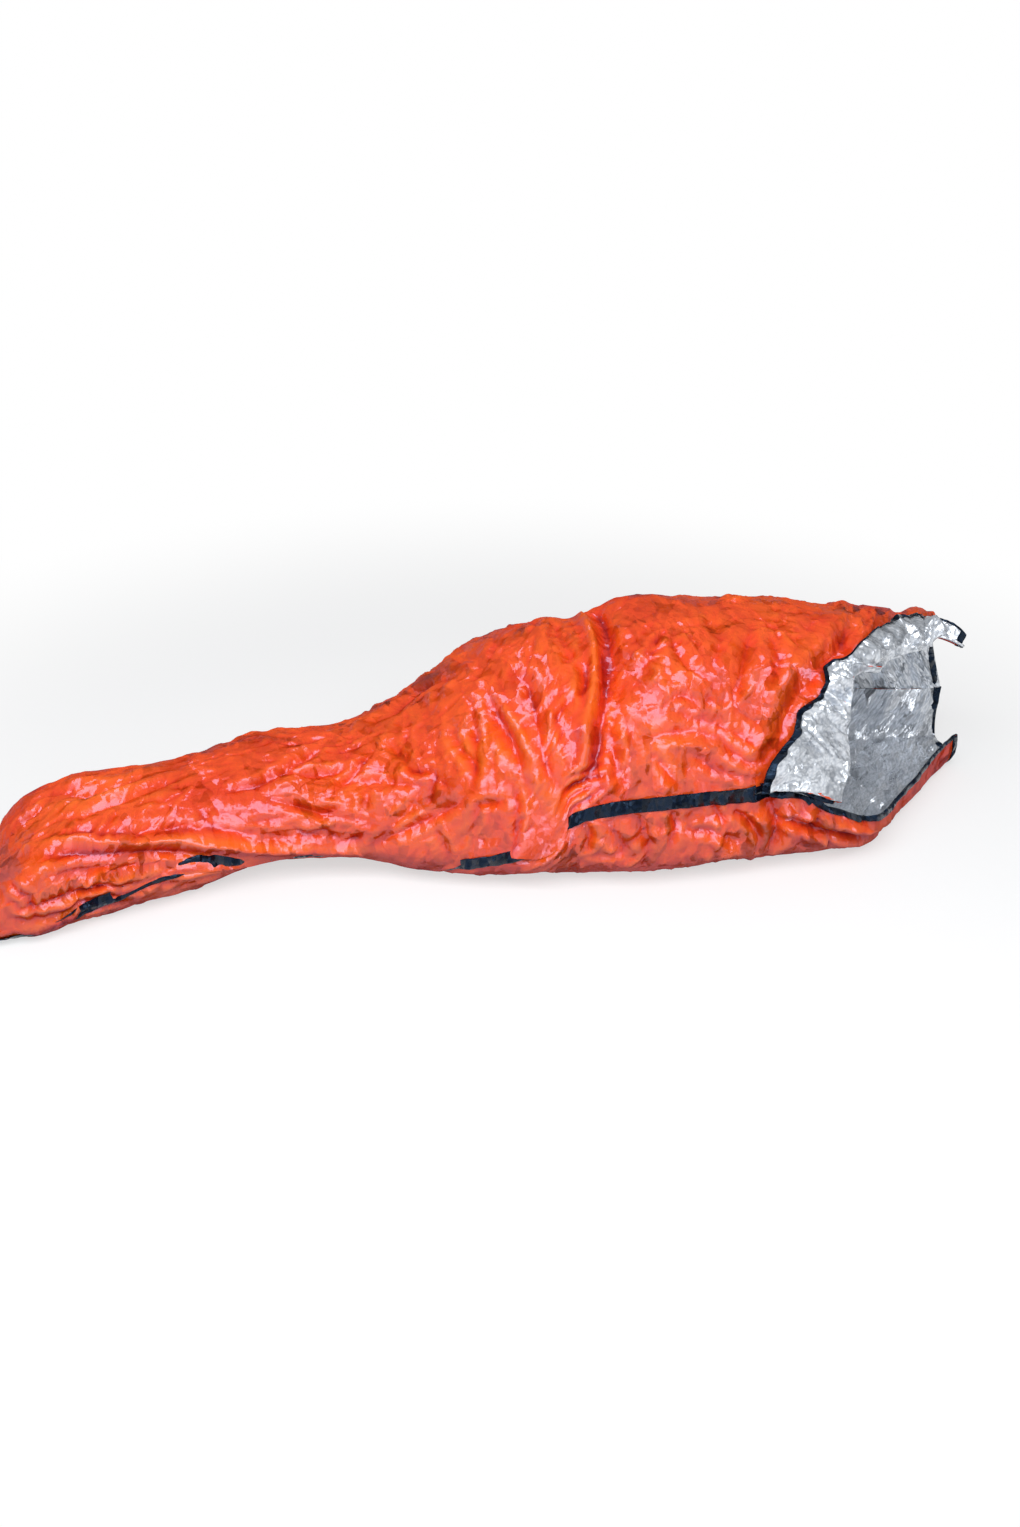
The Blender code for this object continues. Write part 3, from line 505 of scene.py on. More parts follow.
def add_creases(relief_map, crease, dice):
    """Straight sharp creases, up or down, each with two flat flanks that taper to its ends."""
    size = np.subtract(MAP_HIGH, MAP_LOW)
    for _ in range(int(crease.count * size[0] * size[1])):
        s, t = MAP_LOW + dice.random(2) * size
        length, width, height = [low + dice.random() * (high - low) for low, high in crease[1:]]
        trunk = ease((s - TRUNK_START_X) / TRUNK_START_LENGTH)
        turn = LEG_TURN + trunk * (TRUNK_TURN - LEG_TURN) + dice.normal() * TURN_SPREAD
        sign = 1 if dice.random() < 0.5 else -1
        lively = 0.95 + 1.1 * rolling(np.array(s / 0.11), np.array(t / 0.10), 8)
        leg = LEG_CREASE_HEIGHT + (1 - LEG_CREASE_HEIGHT) * trunk
        height *= sign * max(lively, CALMEST) * leg
        reach = length / 2 + width
        spans, grid_s, grid_t = window((s - reach, t - reach), (s + reach, t + reach))
        along = (grid_s - s) * cos(turn) + (grid_t - t) * sin(turn)
        across = (grid_t - t) * cos(turn) - (grid_s - s) * sin(turn)
        taper = np.clip(1 - (2 * along / length) ** 2, 0, 1)
        relief_map[spans] += height * np.clip(taper - np.abs(across) / width, 0, 1)


def crumpled_map():
    """Map of the film's relief over the unrolled bag: hills, creases and the placed folds."""
    dice = np.random.default_rng(CREASE_SEED)
    _, s, t = window(MAP_LOW, MAP_HIGH)
    relief_map = HILL_HEIGHT * rolling(s / HILL_SIZE[0], t / HILL_SIZE[1], 5) + 0 * t
    for crease in CREASES:
        add_creases(relief_map, crease, dice)
    for fold in FOLDS:
        path = np.array(fold.path)
        spans, s, t = window(path.min(0) - 5 * fold.width, path.max(0) + 5 * fold.width)
        relief_map[spans] += fold_height(fold, s + 0 * t, t + 0 * s)
    return MOST_RELIEF * np.tanh(relief_map / MOST_RELIEF)


def blurred(values, reach):
    """The map averaged over a square of cells, one axis after the other."""
    for axis in (0, 1):
        width = 2 * reach + 1
        pads = [(reach + 1, reach) if a == axis else (0, 0) for a in (0, 1)]
        total = np.cumsum(np.pad(values, pads, mode="edge"), axis)
        count = values.shape[axis]
        ahead = total.take(range(width, width + count), axis)
        values = (ahead - total.take(range(count), axis)) / width
    return values


RELIEF = crumpled_map()
# How far the film lies below or above its surroundings; the film's material paints shade from it in the
# hollows and painted light on the ridges
HOLLOWS = (RELIEF - blurred(RELIEF, HOLLOW_CELLS)) / FULL_HOLLOW


def sampled(values, s, t):
    """Value of a map at each place, blended between its points."""
    a, b = np.broadcast_arrays((s - MAP_LOW[0]) / MAP_STEP, (t - MAP_LOW[1]) / MAP_STEP)
    i = np.clip(np.floor(a).astype(int), 0, values.shape[0] - 2)
    j = np.clip(np.floor(b).astype(int), 0, values.shape[1] - 2)
    f = a - i
    g = b - j
    near = values[i, j] * (1 - g) + values[i, j + 1] * g
    return near * (1 - f) + (values[i + 1, j] * (1 - g) + values[i + 1, j + 1] * g) * f


def relief(s, t):
    """Height of the crumpled film over the smooth form of the bag."""
    return sampled(RELIEF, s, t)


def seam_calm(t):
    """Share of the relief that is left beside the near seam, where the tape holds the film."""
    return 0.45 + 0.55 * ease((np.abs(t) - 0.010) / 0.030)


def mouth_calm(to_mouth):
    """Share of the relief that is left beside the mouth's edge."""
    return 0.15 + 0.85 * ease(to_mouth / 0.030)


def foot_calm(s):
    """Share of the relief that is left beside the foot seam."""
    return ease((s - FOOT_X) / 0.030)


# ---------------------------------------------------------------- meshes


def grid_piece(name, points, places, materials, wall=0, offset=1, hollows=None):
    """Smooth sheet through a grid of points, with the places as its UV map in metres."""
    rows, columns = points.shape[:2]
    bm = bmesh.new()
    bmesh.ops.create_grid(bm, x_segments=rows - 1, y_segments=columns - 1, size=1)
    mesh = bpy.data.meshes.new(name)
    bm.to_mesh(mesh)
    bm.free()
    flat = np.empty(len(mesh.vertices) * 3, np.float32)
    mesh.vertices.foreach_get("co", flat)
    flat = flat.reshape(-1, 3)
    i = np.rint((flat[:, 0] + 1) / 2 * (rows - 1)).astype(int)
    j = np.rint((flat[:, 1] + 1) / 2 * (columns - 1)).astype(int)
    mesh.vertices.foreach_set("co", (points + SHIFT)[i, j].astype(np.float32).ravel())
    corners = np.empty(len(mesh.loops), np.int32)
    mesh.loops.foreach_get("vertex_index", corners)
    layer = mesh.uv_layers.new(name="UVMap")
    layer.data.foreach_set("uv", places[i, j][corners].astype(np.float32).ravel())
    if hollows is not None:
        attribute = mesh.attributes.new("hollow", "FLOAT", "POINT")
        attribute.data.foreach_set("value", hollows[i, j].astype(np.float32))
    mesh.update()
    mesh.shade_smooth()
    for material in materials:
        mesh.materials.append(material)
    piece = bpy.data.objects.new(name, mesh)
    bpy.context.scene.collection.objects.link(piece)
    if wall:
        solid = piece.modifiers.new("wall", "SOLIDIFY")
        solid.thickness = wall
        solid.offset = offset
        solid.material_offset = len(materials) - 1
    return piece


def normals_of(points):
    """Outward direction at each point of a grid."""
    return unit(np.cross(np.gradient(points, axis=0), np.gradient(points, axis=1)))


def lifted(points, normals, height, ground=0.0004):
    """Points moved out from the surface by a height, but never below the ground."""
    out = points + normals * np.asarray(height)[..., None]
    out[..., 2] = np.maximum(out[..., 2], ground - SHIFT[2])
    return out


# ---------------------------------------------------------------- materials


class Nodes:
    """Short way to write the nodes of a material or a world."""

    def __init__(self, owner, output):
        self.owner = owner
        self.owner.use_nodes = True
        self.tree = owner.node_tree
        self.tree.nodes.clear()
        self.output = self.add(output)

    def add(self, kind, inputs=None, **settings):
        node = self.tree.nodes.new(kind)
        for key, value in settings.items():
            setattr(node, key, value)
        for key, value in (inputs or {}).items():
            if isinstance(value, bpy.types.NodeSocket):
                self.tree.links.new(value, node.inputs[key])
            else:
                node.inputs[key].default_value = value
        return node

    def math(self, operation, a, b):
        return self.add("ShaderNodeMath", {0: a, 1: b}, operation=operation).outputs[0]

    def vector(self, operation, *values):
        inputs = dict(enumerate(values))
        return self.add("ShaderNodeVectorMath", inputs, operation=operation).outputs[0]

    def ramp(self, value, *stops):
        node = self.add("ShaderNodeValToRGB", {"Fac": value})
        ramp = node.color_ramp
        while len(ramp.elements) < len(stops):
            ramp.elements.new(0.5)
        for element, (place, colour) in zip(ramp.elements, stops):
            element.position = place
            element.color = (*colour, 1)
        return node.outputs["Color"]

    def cells(self, place, scale, stretch, feature):
        """Flat cells of a crumpled sheet, stretched along it."""
        stretched = self.vector("MULTIPLY", place, (*stretch, 1.0))
        inputs = {"Vector": stretched, "Scale": scale, "Randomness": 1.0}
        return self.add("ShaderNodeTexVoronoi", inputs, voronoi_dimensions="2D", feature=feature).outputs

    def facets(self, place, normal, layers):
        """Normal that leans another way in each cell, like the flat facets of crumpled film."""
        for scale, stretch, tilt in layers:
            colour = self.cells(place, scale, stretch, "F1")["Color"]
            lean = self.vector("MULTIPLY_ADD", colour, (2 * tilt,) * 3, (-tilt,) * 3)
            normal = self.vector("ADD", normal, lean)
        return self.vector("NORMALIZE", normal)

    def crease_line_shade(self, place, scale, stretch, depth):
        """Painted shade along the edges of the facets: minus depth there, 0 inside them."""
        away = self.cells(place, scale, stretch, "DISTANCE_TO_EDGE")["Distance"]
        inputs = {"Value": away, "From Max": CREASE_LINE_WIDTH, "To Min": -depth, "To Max": 0.0}
        return self.add("ShaderNodeMapRange", inputs).outputs[0]

    def bent(self, place, scale, reach):
        """The place pushed about by noise, so that cells get crooked edges."""
        drift = self.add("ShaderNodeTexNoise", {"Vector": place, "Scale": scale, "Detail": 4.0})
        return self.vector("MULTIPLY_ADD", drift.outputs["Color"], (reach,) * 3, place)

    def end(self, shader):
        self.tree.links.new(shader.outputs[0], self.output.inputs["Surface"])
        return self.owner


def material_nodes(name):
    """Nodes of the material of that name, emptied."""
    material = bpy.data.materials.get(name) or bpy.data.materials.new(name)
    return Nodes(material, "ShaderNodeOutputMaterial")


# Facets: cells per metre, how they are stretched along the sheet and round it, and their tilt
FILM_FACETS = (
    (19.0, (1.0, 0.5), 0.28),
    (30.0, (0.5, 1.0), 0.23),
    (85.0, (1.0, 0.6), 0.24),
)
LINING_FACETS = (
    (34.0, (1.0, 0.6), 0.30),
    (62.0, (0.7, 1.0), 0.26),
    (130.0, (1.0, 1.0), 0.20),
)
TAPE_FACETS = (
    (60.0, (1.0, 0.35), 0.70),
    (130.0, (1.0, 0.6), 0.40),
)
# Painted shade and light: how far the film's colour moves with its hollows and ridges, how much it
# darkens along the edges of its facets, and over what width
HOLLOW_SHADE = 0.28
CREASE_SHADE = 0.08
CREASE_LINE_WIDTH = 0.06
GLOSS_SHARE = 0.080


def film_material(looks):
    """Glossy orange plastic film with small sharp crinkles; its colour holds painted shade in its
    hollows and along the edges of its facets, and painted light on its ridges.
    """
    n = material_nodes("orange_film")
    place = n.add("ShaderNodeTexCoord").outputs["Object"]
    unrolled = n.bent(n.add("ShaderNodeTexCoord").outputs["UV"], 14.0, 0.05)
    crooked = n.bent(place, 22.0, 0.035)
    coarse = n.add("ShaderNodeTexVoronoi", {"Vector": crooked, "Scale": 26.0}, distance="MANHATTAN")
    fine = n.add("ShaderNodeTexVoronoi", {"Vector": crooked, "Scale": 70.0}, distance="MANHATTAN")
    height = n.math("MULTIPLY", coarse.outputs["Distance"], 0.50)
    height = n.math("ADD", height, n.math("MULTIPLY", fine.outputs["Distance"], 0.24))
    bump = n.add("ShaderNodeBump", {"Strength": 0.36, "Distance": 0.007, "Height": height})
    normal = n.facets(unrolled, bump.outputs[0], FILM_FACETS)
    tone = n.add("ShaderNodeTexNoise", {"Vector": place, "Scale": 7.0, "Detail": 3.0})
    # Painted shade: the colour darkens where the film lies in a hollow and lightens on its ridges,
    # around the noise's random tone
    hollow = n.add("ShaderNodeAttribute", attribute_name="hollow").outputs["Fac"]
    folded = {0: hollow, 1: HOLLOW_SHADE, 2: tone.outputs[0]}
    shade = n.add("ShaderNodeMath", folded, operation="MULTIPLY_ADD").outputs[0]
    scale, stretch, _ = FILM_FACETS[0]
    # Painted shade: the colour darkens along the edges of the facets
    shade = n.math("ADD", shade, n.crease_line_shade(unrolled, scale, stretch, CREASE_SHADE))
    colour = n.ramp(
        shade,
        (0.04, tuple(looks.film_fold_shade)),
        (0.26, tuple(looks.film_deep_tone_and_shade)),
        (0.52, tuple(looks.film)),
        (0.85, tuple(looks.film_bright_tone_and_light)),
    )
    rough = n.add("ShaderNodeMapRange", {"Value": tone.outputs[0], "To Min": 0.16, "To Max": 0.26})
    body = n.add(
        "ShaderNodeBsdfPrincipled",
        {"Base Color": colour, "Roughness": 0.6, "Specular IOR Level": 0.0, "Normal": normal},
    )
    gloss = n.add(
        "ShaderNodeBsdfGlossy",
        {"Color": (0.62, 0.66, 1.0, 1), "Roughness": rough.outputs[0], "Normal": normal},
    )
    both = {"Fac": GLOSS_SHARE, 1: body.outputs[0], 2: gloss.outputs[0]}
    return n.end(n.add("ShaderNodeMixShader", both))


def lining_material(looks):
    """Silver metallised film, finely crinkled, its colour darkened as painted shade towards the edges of
    the crinkle cells.
    """
    n = material_nodes("silver_lining")
    unrolled = n.bent(n.add("ShaderNodeTexCoord").outputs["UV"], 30.0, 0.02)
    grain = {"Vector": unrolled, "Scale": 150.0}
    fine = n.add("ShaderNodeTexVoronoi", grain, voronoi_dimensions="2D").outputs["Distance"]
    bump = n.add("ShaderNodeBump", {"Strength": 0.5, "Distance": 0.002, "Height": fine})
    normal = n.facets(unrolled, bump.outputs[0], LINING_FACETS)
    # Painted shade: darker towards the edges of the fine crinkle cells
    shade = n.ramp(fine, (0.0, tuple(looks.lining)), (1.0, tuple(looks.lining_crinkle_shade)))
    shader = n.add(
        "ShaderNodeBsdfPrincipled",
        {"Base Color": shade, "Metallic": 0.62, "Roughness": 0.24, "Normal": normal},
    )
    return n.end(shader)


def tape_material(looks):
    """Dark blue woven tape with a light sheen and painted blue glints in its colour."""
    n = material_nodes("edge_tape")
    place = n.add("ShaderNodeTexCoord").outputs["UV"]
    threads = {"Vector": place, "Scale": 260.0, "Distortion": 0.6}
    weave = n.add("ShaderNodeTexWave", threads, bands_direction="DIAGONAL")
    cross = n.add("ShaderNodeTexNoise", {"Vector": place, "Scale": 90.0, "Detail": 3.0})
    height = n.math("ADD", n.math("MULTIPLY", weave.outputs["Fac"], 0.3), cross.outputs[0])
    bump = n.add("ShaderNodeBump", {"Strength": 0.4, "Distance": 0.001, "Height": height})
    normal = n.facets(place, bump.outputs[0], TAPE_FACETS)
    # Painted glints: lighter blue where the noise is high
    colour = n.ramp(cross.outputs[0], (0.35, tuple(looks.tape)), (0.7, tuple(looks.tape_glint)))
    shader = n.add(
        "ShaderNodeBsdfPrincipled",
        {
            "Base Color": colour,
            "Roughness": 0.22,
            "Specular IOR Level": 0.40,
            "Specular Tint": (0.35, 0.60, 1.0, 1),
            "Normal": normal,
        },
    )
    return n.end(shader)


# ---------------------------------------------------------------- settings


class BivvySizes(bpy.types.PropertyGroup):
    tape_width: bpy.props.FloatProperty(
        name="Tape width", description="Width of the tape laid flat", default=0.028, min=0.015,
        max=0.05, unit="LENGTH",
    )
    tape_wall: bpy.props.FloatProperty(
        name="Tape thickness", description="Thickness of the tape", default=0.0007, min=0.0002,
        max=0.002, unit="LENGTH",
    )
    film_rise: bpy.props.FloatProperty(
        name="Film rise", description="Height of the film's outer face over the bag's form",
        default=0.001, min=0, max=0.003, unit="LENGTH",
    )
    crumple: bpy.props.FloatProperty(
        name="Crumple", description="Strength of the crumples and folds", default=1.0, min=0,
        max=2, subtype="FACTOR",
    )
    roll: bpy.props.FloatProperty(
        name="Roll", description="Radius of the roll along the creases of the rim",
        default=0.0060, min=0.001, max=0.01, unit="LENGTH",
    )


class BivvyLooks(bpy.types.PropertyGroup):
    film: bpy.props.FloatVectorProperty(
        name="Film", description="Main colour of the film", subtype="COLOR", size=3, min=0, max=1,
        default=(0.84, 0.086, 0.010),
    )
    # Painted shade and random tone: the film's colour in its hollows and in its darker patches
    film_deep_tone_and_shade: bpy.props.FloatVectorProperty(
        name="Film, deep", description="Deepest colour of the film", subtype="COLOR", size=3,
        min=0, max=1, default=(0.74, 0.052, 0.010),
    )
    # Painted shade: the film's colour deep in its folds
    film_fold_shade: bpy.props.FloatVectorProperty(
        name="Film, folds", description="Colour of the film deep in its folds", subtype="COLOR",
        size=3, min=0, max=1, default=(0.40, 0.016, 0.008),
    )
    # Painted light and random tone: the film's colour on its ridges and in its lighter patches
    film_bright_tone_and_light: bpy.props.FloatVectorProperty(
        name="Film, bright", description="Brightest colour of the film", subtype="COLOR", size=3,
        min=0, max=1, default=(0.90, 0.130, 0.010),
    )
    lining: bpy.props.FloatVectorProperty(
        name="Lining", description="Colour of the silver lining", subtype="COLOR", size=3, min=0,
        max=1, default=(0.88, 0.91, 0.95),
    )
    # Painted shade: the lining's colour towards the edges of its fine crinkle cells
    lining_crinkle_shade: bpy.props.FloatVectorProperty(
        name="Lining, dark", description="Colour of the lining in its crinkles", subtype="COLOR",
        size=3, min=0, max=1, default=(0.52, 0.56, 0.62),
    )
    tape: bpy.props.FloatVectorProperty(
        name="Tape", description="Colour of the tape", subtype="COLOR", size=3, min=0, max=1,
        default=(0.002, 0.003, 0.006),
    )
    # Painted glints: the tape's colour in its lighter blue patches
    tape_glint: bpy.props.FloatVectorProperty(
        name="Tape, glint", description="Colour of the tape's lighter threads", subtype="COLOR",
        size=3, min=0, max=1, default=(0.007, 0.013, 0.030),
    )


# ---------------------------------------------------------------- film and lining

Sheet = namedtuple("Sheet", "points places normals")

UPPER_ROWS = 440
UPPER_COLUMNS = 220
LOWER_ROWS = 320
LOWER_COLUMNS = 150
LEGS_END_X = -0.30
TRUNK_END_X = 0.25
LOWER_CHEST_X = 0.30
NEAR_SIDE = 0.62

# Station along the seam, and how far the loose film hangs down over the tape there: at the foot
# and on the legs, then at the waist
DRAPE = (
    (-0.930, 0.022),
    (-0.835, 0.022),
    (-0.818, 0.000),
    (-0.762, 0.000),
    (-0.748, 0.007),
    (-0.700, 0.004),
    (-0.660, 0.003),
    (-0.600, 0.022),
    (-0.165, 0.024),
    (-0.125, 0.005),
    (-0.105, 0.000),
    (-0.025, 0.000),
    (-0.005, 0.005),
    (0.030, 0.021),
    (0.078, 0.025),
    (0.084, 0.000),
)
DRAPE_WIDTH = 0.055
DRAPE_LIFT = 0.0048
FOOT_SAG = 0.008
FOOT_SAG_X = -0.90
UNDER_RIM_SUNK = 0.003
UNDER_RIM_FLATTENED = 0.55
LINING_GAP = 0.0030
LINING_DEEPEST = 0.012
LINING_GROUND = 0.0045


def upper_stations(rows):
    """Stations along the near seam: close at the steep foot, on the trunk and before the mouth."""
    wall = np.linspace(FOOT_X, FOOT_WALL_X, max(6, rows // 30))
    legs = np.linspace(FOOT_WALL_X, LEGS_END_X, int(rows * 0.31))[1:]
    trunk = np.linspace(LEGS_END_X, TRUNK_END_X, int(rows * 0.36))[1:]
    chest = np.linspace(TRUNK_END_X, CREASE_FOOT_X, int(rows * 0.31))[1:]
    return np.concatenate([wall, legs, trunk, chest])


def near_side_shares(columns):
    """Shares of the girth, closer on the near side and the top than on the far side."""
    near = int(columns * 0.72)
    far = np.linspace(NEAR_SIDE, 1, columns - near + 1)[1:]
    return np.concatenate([np.linspace(0, NEAR_SIDE, near), far])


def free_edge_station(m):
    """Station of the turned-back rim's free edge over each share of the girth."""
    rows = LAPEL_EDGE + HOOD_EDGE
    return np.interp(m, [row[2] for row in rows], [row[1] for row in rows], right=1.0)


def upper_sheet(rows, columns, strength):
    """The upper panel with its creases, which lie flatter at its edges and under the rim."""
    u = upper_stations(rows)[:, None]
    m = near_side_shares(columns)[None]
    points, s, t = upper_form(u, m)
    drop = np.interp(s, *zip(*DRAPE))
    hung = np.clip(1 - t / DRAPE_WIDTH, 0, 1)
    place = t - drop * hung
    girth = t[:, -1:]
    over, _, _ = upper_form(u + 0 * m, np.where(drop > 0, np.maximum(place, 0) / girth, m))
    under_girth = -lower_form(u, np.ones((1, 1)))[2]
    under, _, _ = lower_form(u + 0 * m, np.maximum(-place, 0) / under_girth)
    points = np.where(((drop > 0) & (hung > 0))[..., None], over, points)
    points = np.where((place < 0)[..., None], under, points)
    normals = normals_of(points)
    height = relief(s, t) * strength
    to_mouth = np.linalg.norm(points - points[-1:], axis=-1)
    to_far = np.abs(t[:, -1:] - t)
    covered = ease((u - free_edge_station(m) + 0.012) / 0.016)
    height *= seam_calm(t) * seam_calm(to_far) * mouth_calm(to_mouth)
    height *= foot_calm(s)
    height -= FOOT_SAG * ease((FOOT_SAG_X - s) / 0.05) * ease((s - FOOT_X) / 0.010)
    sunk = UNDER_RIM_SUNK * covered * ease(to_mouth / 0.02)
    height = height * (1 - UNDER_RIM_FLATTENED * covered) - sunk
    height = height + DRAPE_LIFT * ease(drop / 0.004) * ease(2 * hung)
    return Sheet(lifted(points, normals, height), np.stack([s, place], -1), normals)


def lower_sheet(rows, columns, strength):
    """The lower panel with its creases, which lie flatter at its edges."""
    legs = np.linspace(FOOT_X, LOWER_CHEST_X, int(rows * 0.7))
    chest = np.linspace(LOWER_CHEST_X, CREASE_FOOT_X, int(rows * 0.3))[1:]
    u = np.concatenate([legs, chest])[:, None]
    m = np.linspace(1, 0, columns)[None]
    points, s, t = lower_form(u, m)
    normals = normals_of(points)
    to_far = np.abs(t[:, :1] - t)
    to_mouth = np.linalg.norm(points - points[-1:], axis=-1)
    height = relief(s, t) * strength * seam_calm(t) * seam_calm(to_far)
    height *= foot_calm(s) * mouth_calm(to_mouth)
    height *= 1 + 0.15 * ease((-t - 0.014) / 0.03)
    return Sheet(lifted(points, normals, height), np.stack([s, t], -1), normals)


def lining_depth(sheet):
    """Height of the lining over the film, below zero: it lies under the lowest film around."""
    rows, columns = [np.arange(n) for n in sheet.points.shape[:2]]
    lowest = 0
    for i in (-1, 0, 1):
        for j in (-1, 0, 1):
            near_rows = (rows + i).clip(0, rows[-1])
            near_columns = (columns + j).clip(0, columns[-1])
            beside = sheet.points[np.ix_(near_rows, near_columns)]
            lowest = np.minimum(lowest, ((beside - sheet.points) * sheet.normals).sum(-1))
    to_mouth = np.linalg.norm(sheet.points - sheet.points[-1:], axis=-1)
    to_seam = np.abs(sheet.places[..., 1])
    inland = ease((to_mouth - 0.006) / 0.02) * ease((to_seam - 0.006) / 0.02)
    return np.maximum(lowest, -LINING_DEEPEST) - (LINING_GAP + LINING_GAP * inland)


def thinned(sheet):
    """Every second row and column of a sheet, with its last ones."""
    rows, columns = [np.append(np.arange(0, n - 1, 2), n - 1) for n in sheet.points.shape[:2]]
    return Sheet(*[field[np.ix_(rows, columns)] for field in sheet])


def lining_sheet(outer):
    """Lining under a panel's film."""
    under = lifted(outer.points, outer.normals, lining_depth(outer))
    return thinned(outer._replace(points=under))


def make_panel(context, side, outer, inner, film_nodes):
    """Film and lining of one panel, as sheets that lie on the bag's form."""
    looks = context.scene.bivvy_looks
    points = lifted(outer.points, outer.normals, context.scene.bivvy_sizes.film_rise)
    # The hollow map, from which the film's material paints shade in the hollows and light on the ridges
    hollows = sampled(HOLLOWS, outer.places[..., 0], outer.places[..., 1])
    film_finish = [film_material(looks)]
    film = grid_piece(side + "_skin", points, outer.places, film_finish, hollows=hollows)
    lining_finish = [lining_material(looks)]
    inside = grid_piece(side + "_inside", inner.points, inner.places, lining_finish)
    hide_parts(*film_nodes)
    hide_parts(side + "_lining")
    for piece, slot in ((film, "film"), (inside, "lining")):
        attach(piece, "bag")


class BIVVY_OT_upper_panel(bpy.types.Operator):
    """Upper panel: crumpled orange film outside and silver lining inside"""

    bl_idname = "bivvy.upper_panel"
    bl_label = "Upper panel"

    def execute(self, context):
        outer = upper_sheet(UPPER_ROWS, UPPER_COLUMNS, context.scene.bivvy_sizes.crumple)
        nodes = ("upper_film_legs", "upper_film_hips", "upper_film_chest")
        make_panel(context, "upper", outer, lining_sheet(outer), nodes)
        return {"FINISHED"}


class BIVVY_OT_lower_panel(bpy.types.Operator):
    """Lower panel: orange film under the bag, with its near edge as the lip of the mouth"""

    bl_idname = "bivvy.lower_panel"
    bl_label = "Lower panel"

    def execute(self, context):
        outer = lower_sheet(LOWER_ROWS, LOWER_COLUMNS, context.scene.bivvy_sizes.crumple)
        inner = lining_sheet(outer)
        crumples = relief(inner.places[..., 0] * 0.9, -inner.places[..., 1]) + 0.004
        ground = np.maximum(LINING_GROUND + 0.9 * crumples, LINING_GROUND)
        inner = inner._replace(points=lifted(inner.points, inner.normals, 0, ground))
        nodes = ("lower_film_feet", "lower_film_knees", "lower_film_hips", "lower_film_chest")
        make_panel(context, "lower", outer, inner, nodes)
        return {"FINISHED"}


# ---------------------------------------------------------------- turned-back rim

LAPEL_COLUMNS = 90
CORNER_COLUMNS = 24
HOOD_COLUMNS = 110
RIM_ROWS = 52
ROLL_ROWS = 9
ROLL_STEPS = ((1.1, 0.045, 71), (0.6, 0.016, 72))
SWAY_STEPS = ((0.012, 0.085, 73), (0.006, 0.030, 74))
TUCK = 0.003
PUFF = 0.006
EDGE_PUFF = 0.003
RIM_RISE = 0.001
# The rim's own crinkles: strength, scale, and the place on the map that they are read from
RIM_CRINKLE = 1.1
RIM_CRINKLE_SCALE = 1.6
RIM_CRINKLE_START = (-1.35, 0.55)
RIM_WALL = 0.0008
RIM_TAPE_SEED = 60
PUCKER = 0.0030
TAPE_GAP = 0.0008
TAPE_NOSE = 0.0012
# Name, size laid flat and flat area of each flap
FLAPS = (
    ("lapel", (0.19, 0.27), 0.036),
    ("corner", (0.10, 0.10), 0.004),
    ("hood", (0.12, 0.46), 0.042),
)


def edge_curve(edge, shares):
    """Stations and shares of the girth along a free edge."""
    places, stations, girths = zip(*edge)
    return np.stack([smooth(places, stations, shares), smooth(places, girths, shares)], -1)


def rim_columns():
    """Places on the crease and on the free edge, from the seam to the top of the hood."""
    lapel = np.linspace(0, 1, LAPEL_COLUMNS)
    corner = np.linspace(0, 1, CORNER_COLUMNS + 2)[1:-1]
    hood = np.linspace(0, 1, HOOD_COLUMNS)
    lapel_free = edge_curve(LAPEL_EDGE, lapel)
    hood_free = edge_curve(HOOD_EDGE, hood)
    corner_free = lapel_free[-1] + corner[:, None] * (hood_free[0] - lapel_free[-1])
    free = np.concatenate([lapel_free, corner_free, hood_free])
    bend = 0 * corner + BEND_SHARE
    top = BEND_SHARE + hood * (TOP_SHARE - BEND_SHARE)
    return np.concatenate([lapel * BEND_SHARE, bend, top]), free


def waves(along, steps):
    """Random hills along a line, of several heights and lengths."""
    return [height * rolling(along / length, along * 0, seed) for height, length, seed in steps]


